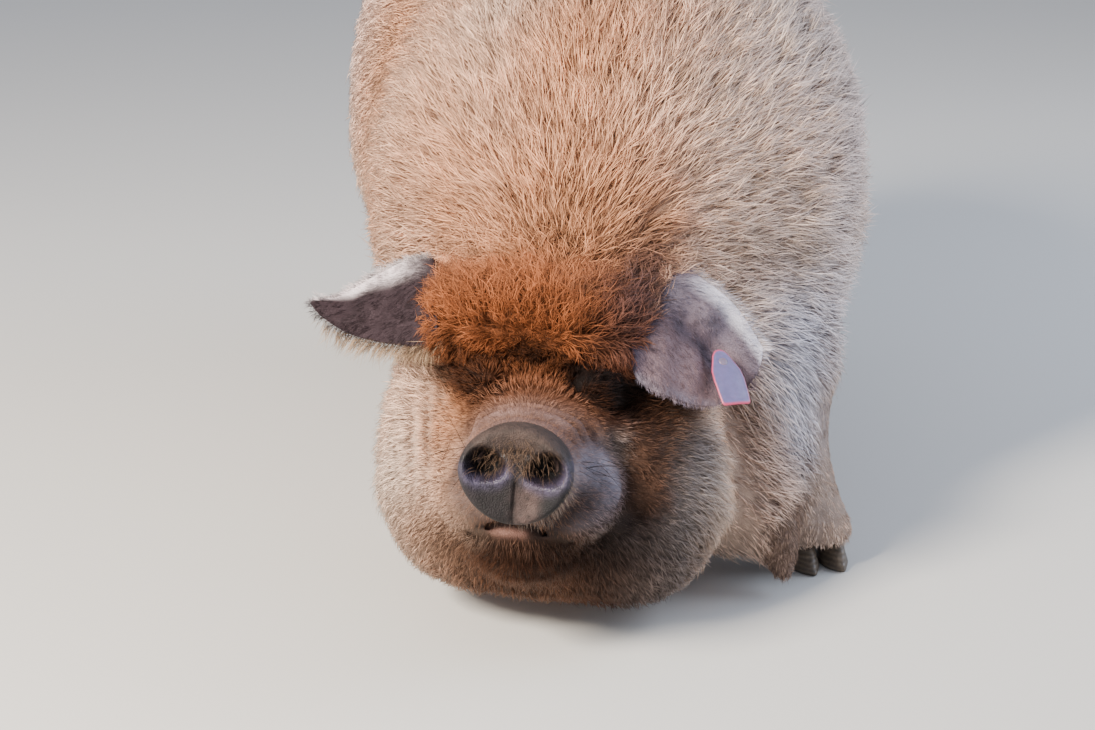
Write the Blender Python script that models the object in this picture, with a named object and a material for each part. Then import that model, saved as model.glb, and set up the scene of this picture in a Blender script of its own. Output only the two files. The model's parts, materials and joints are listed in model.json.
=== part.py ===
"""A standing kunekune pig, life size, with its head lowered to the floor.

The flesh is one field of rounded masses that melt into each other: barrel,
shoulders, hams, neck, jowls, muzzle and legs.  Its surface is drawn at the tips
of the coat, simplified, and parted by thin cuts into the pieces that a person
would name.  Ears, snout disc, eyes, tassels, tail, hooves and ear tag are lofted
one by one and let into the flesh.

Frame: metres, +Z up, the pig faces -Y and its left side is +X.  The floor is
Z = 0 and the origin ends up under the middle of the model.
"""

from math import cos, pi, radians, sin

import bmesh
import bpy
import numpy as np
import openvdb
from mathutils import Euler, Matrix, Vector

# ---------------------------------------------------------------- sizes
GAP = 0.0003  # clearance between neighbouring pieces
VOXEL = 0.0065  # grid step of the flesh field
FLESH_TRIANGLES = 2500  # of the whole flesh, before it is parted

BACK_HEIGHT = 0.650  # highest point of the back
BELLY_HEIGHT = 0.125  # lowest point of the belly
BARREL_HALF_WIDTH = 0.268
BARREL_MIDDLE = 0.42  # Y of the widest place
SHOULDER_Y = 0.14
HAM_Y = 0.67

HEAD_CENTRE = Vector((-0.096, -0.069, 0.166))
HEAD_YAW = -11.8  # degrees, towards the pig's own right
HEAD_PITCH = 8.0  # degrees, muzzle up
HEAD_ROLL = -3.0  # degrees, the left side lower

SNOUT_BACK = 0.166  # head centre to the back of the snout disc
SNOUT_REACH = 0.196  # and to its front
SNOUT_HALF_WIDTH = 0.044
SNOUT_HALF_HEIGHT = 0.038
SNOUT_UP = 0.003

EYE_RADIUS = 0.0115
EYE_PLACE = (0.050, 0.096, 0.062)  # left eye: left, forward, up in the head frame

EAR_THICKNESS = 0.0055
EAR_SEAT = 0.0007  # clearance round an ear's root, measured along its face
RIGHT_EAR_ROOT = Vector((-0.172, 0.030, 0.262))
RIGHT_EAR_BEND = Vector((-0.255, 0.012, 0.246))
RIGHT_EAR_TIP = Vector((-0.312, -0.004, 0.272))
LEFT_EAR_ROOT = Vector((0.009, -0.097, 0.2775))
LEFT_EAR_BEND = Vector((0.051, -0.106, 0.2345))
LEFT_EAR_TIP = Vector((0.090, -0.114, 0.2165))

TAG_LENGTH = 0.057
TAG_WIDTH = 0.029
TAG_THICKNESS = 0.0016
TAG_STANDOFF = 0.0103  # the flag in front of the middle of the ear
PIN_RADIUS = 0.0026
TAG_POINT = Vector((0.0534, -0.1168, 0.2427))  # the pin on the flag
TAG_DOWN = Vector((0.195, -0.752, -0.629)).normalized()
TAG_OUT = Vector((0.220, -0.591, 0.776)).normalized()

HOOF_TOP = 0.030
HOOF_LENGTH = 0.054
HOOF_WIDTH = 0.0265
HOOF_CLEFT = 0.0035  # between the two claws
DEWCLAW_RADIUS = 0.0085

# Foot centres on the floor, and the heading of each foot outwards in degrees
FEET = {
    "front_left": (Vector((0.168, 0.000, 0)), 14),
    "front_right": (Vector((-0.152, 0.062, 0)), -10),
    "hind_left": (Vector((0.160, 0.660, 0)), 8),
    "hind_right": (Vector((-0.158, 0.610, 0)), -8),
}

TAIL_POINTS = (
    Vector((0.004, 0.775, 0.470)),
    Vector((0.010, 0.905, 0.475)),
    Vector((0.030, 0.890, 0.260)),
)

# ---------------------------------------------------------------- colours
CREAM = (0.60, 0.42, 0.27)
GINGER = (0.46, 0.20, 0.07)
GREY_SKIN = (0.13, 0.10, 0.10)
EAR_SKIN = (0.30, 0.22, 0.20)
DARK_HORN = (0.06, 0.045, 0.035)
DARK_EYE = (0.02, 0.012, 0.008)
TAG_PINK = (0.72, 0.38, 0.38)


# ---------------------------------------------------------------- scene
def clear_scene():
    for obj in list(bpy.data.objects):
        bpy.data.objects.remove(obj)


def new_collection(name, drawn):
    collection = bpy.data.collections.new(name)
    bpy.context.scene.collection.children.link(collection)
    collection.hide_render = not drawn
    return collection


def coat_material(name, colour, roughness):
    material = bpy.data.materials.new(name)
    material.use_nodes = True
    shader = material.node_tree.nodes["Principled BSDF"]
    shader.inputs["Base Color"].default_value = (*colour, 1)
    shader.inputs["Roughness"].default_value = roughness
    shader.inputs["Metallic"].default_value = 0
    material.diffuse_color = (*colour, 1)
    return material


class Build:
    """The collections and the shared parent of every piece."""

    def __init__(self):
        self.pieces = new_collection("kunekune_pig", True)
        self.cutters = new_collection("cutters", False)
        self.root = bpy.data.objects.new("pig", None)
        self.pieces.objects.link(self.root)

    def piece(self, name, mesh, colour, roughness=0.85):
        obj = bpy.data.objects.new(name, mesh)
        mesh.materials.clear()
        mesh.materials.append(coat_material(name, colour, roughness))
        self.pieces.objects.link(obj)
        obj.parent = self.root
        return obj

    def cutter(self, name, mesh):
        obj = bpy.data.objects.new(name, mesh)
        obj.hide_render = True
        obj.display_type = "WIRE"
        self.cutters.objects.link(obj)
        return obj


# ---------------------------------------------------------------- meshes
def mesh_of(name, points, faces):
    mesh = bpy.data.meshes.new(name)
    mesh.from_pydata([tuple(p) for p in points], [], [tuple(f) for f in faces])
    mesh.update()
    return mesh


def outward(mesh):
    """Turns every face outwards."""
    work = bmesh.new()
    work.from_mesh(mesh)
    bmesh.ops.recalc_face_normals(work, faces=work.faces)
    if work.calc_volume(signed=True) < 0:
        bmesh.ops.reverse_faces(work, faces=work.faces)
    work.to_mesh(mesh)
    work.free()
    return mesh


def loft(name, rings):
    """A closed body through rings of points, with a flat cap on each end."""
    rings = np.asarray(rings, float)
    count, around = rings.shape[:2]
    step = np.arange(around)
    faces = []
    for ring in range(count - 1):
        a, b = ring * around, (ring + 1) * around
        following = (step + 1) % around
        faces += np.stack([a + step, a + following, b + following], 1).tolist()
        faces += np.stack([a + step, b + following, b + step], 1).tolist()
    faces.append(step[::-1].tolist())
    faces.append(((count - 1) * around + step).tolist())
    return outward(mesh_of(name, rings.reshape(-1, 3), faces))


def box_mesh(name, centre, size, turn):
    """A box turned about its centre."""
    work = bmesh.new()
    bmesh.ops.create_cube(work, size=1)
    scale = Matrix.Diagonal((*size, 1))
    work.transform(Matrix.Translation(centre) @ turn.to_4x4() @ scale)
    mesh = bpy.data.meshes.new(name)
    work.to_mesh(mesh)
    work.free()
    return mesh


def apply_modifiers(obj):
    graph = bpy.context.evaluated_depsgraph_get()
    mesh = bpy.data.meshes.new_from_object(obj.evaluated_get(graph))
    obj.modifiers.clear()
    obj.data = mesh


def cut(obj, tool, operation="DIFFERENCE"):
    modifier = obj.modifiers.new("cut", "BOOLEAN")
    modifier.object = tool
    modifier.operation = operation
    modifier.solver = "EXACT"
    apply_modifiers(obj)


def keep_largest(obj):
    """Drops the crumbs that a cut leaves beside the main body."""
    work = bmesh.new()
    work.from_mesh(obj.data)
    bmesh.ops.triangulate(work, faces=work.faces)
    unseen = set(work.faces)
    islands = []
    while unseen:
        start = unseen.pop()
        island, edge = [start], [start]
        while edge:
            face = edge.pop()
            for side in face.edges:
                for near in side.link_faces:
                    if near in unseen:
                        unseen.remove(near)
                        island.append(near)
                        edge.append(near)
        islands.append(island)
    largest = max(islands, key=lambda faces: sum(f.calc_area() for f in faces))
    for island in islands:
        if island is not largest:
            verts = {v for face in island for v in face.verts}
            bmesh.ops.delete(work, geom=list(verts), context="VERTS")
    bmesh.ops.remove_doubles(work, verts=work.verts, dist=2e-6)
    bmesh.ops.dissolve_degenerate(work, edges=work.edges, dist=2e-6)
    work.to_mesh(obj.data)
    work.free()


# ---------------------------------------------------------------- frames
HEAD_TURN = (
    Matrix.Rotation(radians(180 + HEAD_YAW), 3, "Z")
    @ Matrix.Rotation(radians(HEAD_PITCH), 3, "X")
    @ Matrix.Rotation(radians(HEAD_ROLL), 3, "Y")
)


def in_head(left, forward, up):
    """A point given in the head's own directions, in the world."""
    return HEAD_CENTRE + HEAD_TURN @ Vector((-left, forward, up))


# ---------------------------------------------------------------- the flesh field
class Flesh:
    """Signed distance to the flesh on a regular grid, built up mass by mass."""

    def __init__(self, low, high, step):
        self.low = np.array(low, np.float32)
        self.step = step
        counts = [int(round((b - a) / step)) + 1 for a, b in zip(low, high)]
        axes = [a + step * np.arange(n, dtype=np.float32) for a, n in zip(low, counts)]
        self.grid = np.stack(np.meshgrid(*axes, indexing="ij"), axis=-1)
        self.field = np.full(counts, 1.0, np.float32)

    def blend(self, distance, softness):
        """Smooth minimum of the field so far and a new mass."""
        apart = np.maximum(softness - np.abs(self.field - distance), 0) / softness
        self.field = np.minimum(self.field, distance) - apart**2 * softness / 4

    def carve(self, distance, softness):
        """Smooth removal of a shape from the field so far."""
        apart = np.maximum(softness - np.abs(self.field + distance), 0) / softness
        self.field = np.maximum(self.field, -distance) + apart**2 * softness / 4

    def ball_distance(self, centre, radii, turn=(0, 0, 0), frame=None):
        """Distance to an ellipsoid, close to exact near its surface."""
        axes = Euler([radians(a) for a in turn]).to_matrix()
        if frame is not None:
            axes = frame @ axes
        local = (self.grid - np.array(centre, np.float32)) @ np.array(axes, np.float32)
        radii = np.array(radii, np.float32)
        near = np.sqrt(((local / radii) ** 2).sum(-1))
        slope = np.sqrt(((local / radii**2) ** 2).sum(-1)) + 1e-6
        return near * (near - 1) / slope

    def cone_distance(self, start, end, start_radius, end_radius):
        """Distance to a rod with round ends whose radius changes along it."""
        start, end = np.array(start, np.float32), np.array(end, np.float32)
        along = end - start
        share = np.clip((self.grid - start) @ along / (along @ along), 0, 1)
        nearest = start + share[..., None] * along
        radius = start_radius + share * (end_radius - start_radius)
        return np.sqrt(((self.grid - nearest) ** 2).sum(-1)) - radius

    def add_ball(self, centre, radii, softness=0.05, turn=(0, 0, 0)):
        self.blend(self.ball_distance(centre, radii, turn), softness)

    def add_cone(self, start, end, start_radius, end_radius, softness=0.03):
        self.blend(self.cone_distance(start, end, start_radius, end_radius), softness)

    def add_head_ball(self, centre, radii, softness=0.03, turn=(0, 0, 0)):
        distance = self.ball_distance(in_head(*centre), radii, turn, HEAD_TURN)
        self.blend(distance, softness)

    def carve_head_ball(self, centre, radii, softness=0.01, turn=(0, 0, 0)):
        distance = self.ball_distance(in_head(*centre), radii, turn, HEAD_TURN)
        self.carve(distance, softness)

    def surface(self):
        """Vertices and quads of the field's zero surface."""
        volume = openvdb.FloatGrid(1.0)
        volume.copyFromArray(self.field)
        points, _, quads = volume.convertToPolygons(isovalue=0.0, adaptivity=0.0)
        return points * self.step + self.low, quads[:, ::-1]


def add_trunk(flesh):
    """Barrel, belly, shoulders and hams of a fat pig."""
    half_height = (BACK_HEIGHT - BELLY_HEIGHT) / 2
    middle = (BACK_HEIGHT + BELLY_HEIGHT) / 2
    flesh.add_ball((0, BARREL_MIDDLE, middle), (0.242, 0.385, half_height), 0.06)
    flesh.add_ball(
        (0, BARREL_MIDDLE + 0.01, 0.30), (BARREL_HALF_WIDTH, 0.30, 0.155), 0.06
    )
    flesh.add_ball((0, SHOULDER_Y + 0.06, 0.385), (0.212, 0.215, 0.225), 0.06)
    flesh.add_ball((0, HAM_Y - 0.04, 0.40), (0.205, 0.195, 0.195), 0.06)
    for side in (-1, 1):
        flesh.add_ball((side * 0.135, SHOULDER_Y, 0.34), (0.090, 0.12, 0.170), 0.05)
        flesh.add_ball((side * 0.112, HAM_Y - 0.01, 0.320), (0.110, 0.14, 0.17), 0.05)


def add_neck(flesh):
    """The neck rises steeply from the lowered head into a broad crest."""
    flesh.add_ball((0.0, 0.145, 0.40), (0.180, 0.150, 0.180), 0.06)
    flesh.add_cone((-0.01, 0.13, 0.37), (-0.06, 0.03, 0.24), 0.150, 0.125, 0.06)


def add_head(flesh):
    """Broad skull between heavy jowls, dished face and short muzzle."""
    flesh.add_head_ball((0, -0.02, 0.01), (0.126, 0.125, 0.118), 0.03)
    for side in (-1, 1):
        flesh.add_head_ball((side * 0.082, -0.012, 0.020), (0.060, 0.085, 0.068), 0.03)
        flesh.add_head_ball((side * 0.054, 0.054, 0.094), (0.050, 0.040, 0.024), 0.02)
        flesh.add_head_ball((side * 0.036, 0.116, -0.036), (0.040, 0.050, 0.033), 0.02)
    flesh.add_head_ball((-0.068, -0.005, -0.048), (0.078, 0.105, 0.100), 0.03)
    flesh.add_head_ball((0.076, -0.005, -0.050), (0.084, 0.105, 0.103), 0.03)
    flesh.add_head_ball((0, 0.03, 0.110), (0.092, 0.055, 0.040), 0.03)
    flesh.add_head_ball((0, 0.090, -0.002), (0.058, 0.080, 0.048), 0.03)
    flesh.add_head_ball((0, 0.160, SNOUT_UP), (0.044, 0.034, 0.040), 0.014)
    flesh.add_head_ball((0, 0.100, -0.080), (0.044, 0.052, 0.027), 0.02)
    for side in (-1, 1):
        eye = (side * EYE_PLACE[0], EYE_PLACE[1] + 0.004, EYE_PLACE[2])
        flesh.carve_head_ball(eye, (0.024, 0.018, 0.011), 0.012)


def add_neck_fold(flesh):
    """The fold of fat that hangs behind the left cheek."""
    flesh.add_cone((0.060, 0.055, 0.225), (0.086, -0.006, 0.076), 0.070, 0.063, 0.035)


def limb_stations(name):
    """Points and radii down each leg, from inside the trunk to the foot."""
    foot, _ = FEET[name]
    side = 1 if foot.x > 0 else -1
    if name.startswith("front"):
        return [
            (Vector((side * 0.130, SHOULDER_Y - 0.01, 0.300)), 0.095),
            (Vector((foot.x * 0.86, foot.y + 0.090, 0.190)), 0.055),
            (Vector((foot.x * 0.83, foot.y + 0.062, 0.118)), 0.037),
            (Vector((foot.x * 0.90, foot.y + 0.026, 0.068)), 0.033),
            (Vector((foot.x, foot.y + 0.004, 0.034)), 0.036),
        ]
    return [
        (Vector((side * 0.125, HAM_Y - 0.03, 0.300)), 0.110),
        (Vector((foot.x * 0.96, foot.y - 0.010, 0.215)), 0.072),
        (Vector((foot.x * 0.94, foot.y + 0.062, 0.150)), 0.042),
        (Vector((foot.x * 0.97, foot.y + 0.032, 0.075)), 0.033),
        (Vector((foot.x, foot.y + 0.004, 0.034)), 0.036),
    ]


def add_leg(flesh, name):
    """A leg as rods between its stations."""
    stations = limb_stations(name)
    for (start, first), (end, second) in zip(stations, stations[1:]):
        flesh.add_cone(start, end, first, second, 0.025)


def build_flesh():
    flesh = Flesh((-0.32, -0.31, -0.03), (0.32, 0.92, 0.70), VOXEL)
    add_trunk(flesh)
    add_neck(flesh)
    for name in FEET:
        add_leg(flesh, name)
    add_neck_fold(flesh)
    add_head(flesh)
    return flesh.surface()


# ---------------------------------------------------------------- lofted pieces
def ear_rings(spine, crests, widths, shape, cup, sink, fold, grow=0.0):
    """Flattened rings along a bent spine: a leaf with a soft fold and a round edge.

    The spine is a quadratic curve root - bend - tip.  Each ring lies across it
    towards the crest (the upper edge), which turns from the first direction to
    the second.  The half width falls from the first to the second and closes as
    (1 - s^a)^b.  The middle rises by cup, sinks by sink at the root, and a
    valley of the fold's depth wanders from the crest to the tip.
    """
    root, bend, tip = spine
    rings = []
    angles = np.linspace(0, 2 * pi, 14, endpoint=False)
    for share in (-0.10, 0.02, 0.18, 0.35, 0.52, 0.68, 0.82, 0.92, 0.98):
        s = max(share, 0.0)
        middle = root * (1 - s) ** 2 + bend * 2 * s * (1 - s) + tip * s**2
        along = ((bend - root) * (1 - s) + (tip - bend) * s).normalized()
        if share < 0:
            middle = root + along * (share * 0.12 - grow)
        crest = crests[0] * (1 - s) + crests[1] * s
        across = (crest - along * crest.dot(along)).normalized()
        face = along.cross(across)
        wide = (widths[0] * (1 - s) + widths[1] * s) * (1 - s ** shape[0]) ** shape[1]
        t = np.cos(angles) * (wide + grow) / wide
        thick = (EAR_THICKNESS / 2) * (1.25 - 0.55 * s) + grow
        lift = cup * (1 - t**2) * sin(pi * min(s + 0.15, 1))
        lift = lift - sink * (1 - t**2) * max(1 - s / 0.6, 0) ** 2
        valley = np.exp(-(((t - 0.55 + 0.5 * s) / 0.26) ** 2))
        lift = lift - fold * valley * sin(pi * min(s + 0.1, 1))
        out = np.sin(angles) * thick + lift
        flat = (t * wide)[:, None] * np.array(across)
        rings.append(np.array(middle) + flat + out[:, None] * np.array(face))
    return rings


def right_ear(grow=0.0):
    spine = (RIGHT_EAR_ROOT, RIGHT_EAR_BEND, RIGHT_EAR_TIP)
    crest = Vector((-0.05, 0.28, 1.0))
    return ear_rings(
        spine, (crest, crest), (0.040, 0.040), (2.2, 0.85), 0.008, 0.0, 0.0, grow
    )


def left_ear(grow=0.0):
    spine = (LEFT_EAR_ROOT, LEFT_EAR_BEND, LEFT_EAR_TIP)
    crests = (Vector((0.46, 0.80, 0.38)), Vector((0.66, 0.63, 0.40)))
    return ear_rings(
        spine, crests, (0.068, 0.047), (5.0, 0.5), 0.006, 0.026, 0.010, grow
    )


def tube_rings(points, radii, sides=12, grow=0.0, squash=1.0):
    """Rings round a smooth path through the points (quadratic), ends drawn in."""
    start, bend, end = points
    rings = []
    angles = np.linspace(0, 2 * pi, sides, endpoint=False)
    reference = Vector((1, 0, 0))
    for s, radius in radii:
        centre = start * (1 - s) ** 2 + bend * 2 * s * (1 - s) + end * s**2
        along = ((bend - start) * (1 - s) + (end - bend) * s).normalized()
        first = (reference - along * reference.dot(along)).normalized()
        second = along.cross(first)
        radius = radius + grow
        ring = np.cos(angles)[:, None] * radius * np.array(first)
        ring = ring + np.sin(angles)[:, None] * radius * squash * np.array(second)
        rings.append(np.array(centre) + ring)
    return rings


def tail_rings(grow=0.0):
    """A thin tail hanging from the rump, ending in a brush."""
    radii = [(0.0, 0.021), (0.15, 0.020), (0.35, 0.016), (0.55, 0.012), (0.70, 0.011)]
    radii += [(0.80, 0.015), (0.90, 0.016), (0.97, 0.009), (1.0, 0.003)]
    return tube_rings(TAIL_POINTS, radii, 12, grow)


def tassel_rings(side, grow=0.0):
    """A hairy skin tassel that hangs from the throat beside the jowl."""
    if side > 0:
        points = (Vector((0.108, -0.015, 0.100)), Vector((0.120, -0.062, 0.080)),
                  Vector((0.124, -0.066, 0.012)))
    else:
        points = (Vector((-0.180, 0.005, 0.110)), Vector((-0.196, 0.030, 0.090)),
                  Vector((-0.192, 0.034, 0.020)))
    radii = [(0.0, 0.009), (0.3, 0.012), (0.55, 0.0165), (0.75, 0.019), (0.9, 0.0165)]
    radii += [(0.97, 0.010), (1.0, 0.004)]
    return tube_rings(points, radii, 12, grow)


def ball_rings(centre, radii, turn, grow=0.0, around=10, up=7):
    """Rings of an ellipsoid, pole to pole, the poles drawn in to small caps."""
    rings = []
    angles = np.linspace(0, 2 * pi, around, endpoint=False)
    size = np.array(radii) + grow
    axes = np.array(turn)
    for height in np.linspace(-pi / 2 + 0.12, pi / 2 - 0.12, up):
        ring = np.stack(
            [
                np.cos(angles) * cos(height) * size[0],
                np.sin(angles) * cos(height) * size[1],
                np.full(around, sin(height) * size[2]),
            ],
            axis=1,
        )
        rings.append(np.array(centre) + ring @ axes.T)
    return rings


def foot_frame(name):
    """Outward, forward and up directions of a foot and its centre."""
    foot, heading = FEET[name]
    turn = Matrix.Rotation(radians(heading), 3, "Z")
    return foot, turn @ Vector((1, 0, 0)), turn @ Vector((0, -1, 0))


def hoof_rings(name, claw):
    """One claw: a D-shaped block, pointed in front, its front wall leaning back."""
    foot, across, forward = foot_frame(name)
    rings = []
    angles = np.linspace(0, 2 * pi, 12, endpoint=False)
    for height, scale, back in ((0, 0.95, 0), (0.004, 1.0, 0.0), (HOOF_TOP, 0.80, 0.009)):
        wide = HOOF_WIDTH / 2 * scale
        long = HOOF_LENGTH / 2 * scale
        front = np.cos(angles)
        reach = front * long - back
        narrow = 1 - 0.38 * np.clip(front, 0, 1) ** 2
        inner = claw * (HOOF_CLEFT / 2 + HOOF_WIDTH / 2)
        sideways = inner + np.sin(angles) * wide * narrow
        ring = np.array(foot) + sideways[:, None] * np.array(across)
        ring = ring + reach[:, None] * np.array(forward)
        ring[:, 2] = height
        rings.append(ring)
    return rings


def dewclaw_rings(name, claw, grow=0.0):
    """A small horn cone behind the pastern, pointing down and back."""
    foot, across, forward = foot_frame(name)
    root = foot + across * claw * 0.014 - forward * 0.034 + Vector((0, 0, 0.074))
    bend = foot + across * claw * 0.018 - forward * 0.062 + Vector((0, 0, 0.070))
    end = foot + across * claw * 0.019 - forward * 0.068 + Vector((0, 0, 0.042))
    width = DEWCLAW_RADIUS
    radii = [(0.0, width * 0.9), (0.35, width), (0.7, width * 0.8), (1.0, width * 0.35)]
    return tube_rings((root, bend, end), radii, 8, grow)


def snout_rings():
    """The flat snout disc: an oval with a raised round rim, a little heart-shaped."""
    angles = np.linspace(0, 2 * pi, 22, endpoint=False)
    rings = []
    for reach, scale in (
        (SNOUT_BACK, 0.90),
        (SNOUT_BACK + 0.010, 0.95),
        (SNOUT_REACH - 0.008, 1.0),
        (SNOUT_REACH - 0.002, 0.97),
        (SNOUT_REACH, 0.88),
        (SNOUT_REACH - 0.002, 0.70),
    ):
        left = np.cos(angles) * SNOUT_HALF_WIDTH * scale
        up = np.sin(angles) * SNOUT_HALF_HEIGHT * scale + SNOUT_UP
        left = left * (1 - 0.10 * np.clip(-np.sin(angles), 0, 1))
        rings.append([in_head(x, reach, z) for x, z in zip(left, up)])
    return rings


# ---------------------------------------------------------------- the ear tag
def turned_rings(centre, axis, stations, around=12):
    """Rings of a turned shape along an axis: (height, radius) stations."""
    axis = axis.normalized()
    first = axis.orthogonal().normalized()
    second = axis.cross(first)
    angles = np.linspace(0, 2 * pi, around, endpoint=False)
    rings = []
    for height, radius in stations:
        ring = np.cos(angles)[:, None] * radius * np.array(first)
        ring = ring + np.sin(angles)[:, None] * radius * np.array(second)
        rings.append(np.array(centre + axis * height) + ring)
    return rings


def tag_flag_mesh():
    """A flat plate: a narrow rounded head, full shoulders and a square foot."""
    side = TAG_DOWN.cross(TAG_OUT).normalized()
    below = np.array([-0.24, -0.22, -0.14, 0.0, 0.15, 0.32, 0.56, 0.74, 0.76])
    half = np.array([0.14, 0.30, 0.52, 0.72, 0.94, 1.0, 0.96, 0.92, 0.86])
    below, half = below * TAG_LENGTH, half * TAG_WIDTH / 2
    outline = list(zip(below, half)) + list(zip(below[::-1], -half[::-1]))
    rings = []
    for depth in (-TAG_THICKNESS / 2, TAG_THICKNESS / 2):
        middle = TAG_POINT + TAG_OUT * depth
        rings.append([middle + TAG_DOWN * d + side * h for d, h in outline])
    return loft("tag_flag", rings)


def tag_pin_mesh():
    """A rivet: a button behind the ear, a shaft and a small head on the flag."""
    top = TAG_THICKNESS / 2 + GAP
    back = -TAG_STANDOFF
    stations = [
        (back - 0.0085, 0.0080),
        (back - 0.0065, 0.0085),
        (back - 0.0060, PIN_RADIUS),
        (top, PIN_RADIUS - 0.0002),
        (top + 0.0001, 0.0042),
        (top + 0.0014, 0.0034),
    ]
    return loft("tag_pin", turned_rings(TAG_POINT, TAG_OUT, stations))


# ---------------------------------------------------------------- assembly
def flesh_object(build):
    """The whole flesh as one simplified closed mesh."""
    points, quads = build_flesh()
    body = build.cutter("flesh", outward(mesh_of("flesh", points, quads)))
    smooth = body.modifiers.new("even", "SMOOTH")
    smooth.factor = 0.5
    smooth.iterations = 2
    simplify = body.modifiers.new("simplify", "DECIMATE")
    simplify.ratio = FLESH_TRIANGLES / (2 * len(quads))
    coarse = body.vertex_groups.new(name="coarse")
    rise = np.clip((points[:, 1] + 0.06) / 0.16, 0.0, 1.0)
    for level in range(11):
        chosen = np.flatnonzero(np.round(rise * 10) == level)
        coarse.add(chosen.tolist(), 0.64 + 0.036 * level, "REPLACE")
    simplify.vertex_group = "coarse"
    apply_modifiers(body)
    keep_largest(body)
    return body


def part_off(build, rest, name, centre, size, turn, colour):
    """Takes the flesh inside a box off the rest, leaving the gap between them."""
    size = Vector(size)
    inner = build.cutter(name + "_region", box_mesh(name, centre, size, turn))
    wider = size + Vector((2 * GAP, 2 * GAP, 2 * GAP))
    outer = build.cutter(name + "_clearance", box_mesh(name, centre, wider, turn))
    piece = build.piece(name, rest.data.copy(), colour)
    cut(piece, inner, "INTERSECT")
    keep_largest(piece)
    cut(rest, outer)
    keep_largest(rest)
    for obj in (inner, outer):
        bpy.data.objects.remove(obj)
    return piece


def turned(z=0.0, x=0.0, y=0.0):
    return (
        Matrix.Rotation(radians(z), 3, "Z")
        @ Matrix.Rotation(radians(x), 3, "X")
        @ Matrix.Rotation(radians(y), 3, "Y")
    )


def part_flesh(build, body):
    """Parts the flesh into feet, legs, head, neck and trunk."""
    flat = turned()
    for name in FEET:
        foot, _ = FEET[name]
        size = (0.086, 0.120, 0.1)
        centre = Vector((foot.x, foot.y, HOOF_TOP + GAP - size[2] / 2))
        floor = build.cutter("floor_" + name, box_mesh("floor", centre, size, flat))
        cut(body, floor)
        bpy.data.objects.remove(floor)
    keep_largest(body)

    pieces = {}

    def take(name, centre, size, turn, colour=CREAM):
        pieces[name] = part_off(build, body, name, Vector(centre), size, turn, colour)

    take("leg_front_left_lower", (0.185, 0.076, 0.055), (0.14, 0.16, 0.13), turned(-33))
    take("leg_front_right_lower", (-0.150, 0.130, 0.055), (0.11, 0.19, 0.13), turned(0))
    take("leg_hind_left_lower", (0.160, 0.700, 0.075), (0.13, 0.22, 0.15), turned(0))
    take("leg_hind_right_lower", (-0.158, 0.655, 0.075), (0.13, 0.22, 0.15), turned(0))
    take("leg_front_left_upper", (0.195, 0.135, 0.190), (0.17, 0.18, 0.14), turned(-33))
    take("leg_front_right_upper", (-0.190, 0.160, 0.190), (0.20, 0.20, 0.14), turned(8))
    take("leg_hind_left_upper", (0.185, 0.690, 0.210), (0.24, 0.24, 0.12), turned(0, -12))
    take("leg_hind_right_upper", (-0.185, 0.650, 0.210), (0.24, 0.24, 0.12), turned(0, -12))
    take("muzzle", in_head(0, 0.190, 0.012), (0.20, 0.14, 0.130), HEAD_TURN, GREY_SKIN)
    size = (0.3, 0.1, 0.3)
    centre = in_head(0, SNOUT_BACK - GAP + size[1] / 2, 0)
    front = build.cutter("front", box_mesh("front", centre, size, HEAD_TURN))
    cut(pieces["muzzle"], front)
    keep_largest(pieces["muzzle"])
    bpy.data.objects.remove(front)
    take("jaw", in_head(0, 0.130, -0.105), (0.116, 0.15, 0.100), HEAD_TURN, CREAM)
    head_turn = turned(180 - 23.5, 6)
    head_forward = head_turn @ Vector((0, 1, 0))
    crease = Vector((0.060, -0.030, 0.160))
    middle = crease + head_forward * 0.25 - Vector((0, 0, 0.16))
    take("head", middle, (0.9, 0.5, 0.61), head_turn, GINGER)
    neck_turn = turned(180, 24)
    neck_forward = neck_turn @ Vector((0, 1, 0))
    take("neck", Vector((0, 0.165, 0.35)) + neck_forward * 0.3, (0.9, 0.6, 1.2), neck_turn)
    take("shoulders", (0, 0.000, 0.35), (0.9, 0.580, 0.9), flat)
    take("barrel", (0, 0.430, 0.35), (0.9, 0.280, 0.9), flat)
    rump = build.piece("rump", body.data.copy(), CREAM)
    pieces["rump"] = rump
    bpy.data.objects.remove(body)
    return pieces


def let_in(build, pieces, names, tool_mesh):
    """Cuts a seat for a lofted piece into each named flesh piece."""
    tool = build.cutter("seat", tool_mesh)
    for name in names:
        cut(pieces[name], tool)
        keep_largest(pieces[name])
    bpy.data.objects.remove(tool)


def add_snout(build):
    """The snout disc with its two nostrils."""
    snout = build.piece("snout_disc", loft("snout_disc", snout_rings()), GREY_SKIN, 0.6)
    for side in (-1, 1):
        centre = in_head(side * 0.0175, SNOUT_REACH, SNOUT_UP + 0.004)
        mesh = loft("nostril", ball_rings(centre, (0.0095, 0.016, 0.0115), HEAD_TURN))
        nostril = build.cutter("nostril", mesh)
        cut(snout, nostril)
        bpy.data.objects.remove(nostril)
    keep_largest(snout)
    return snout


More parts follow.
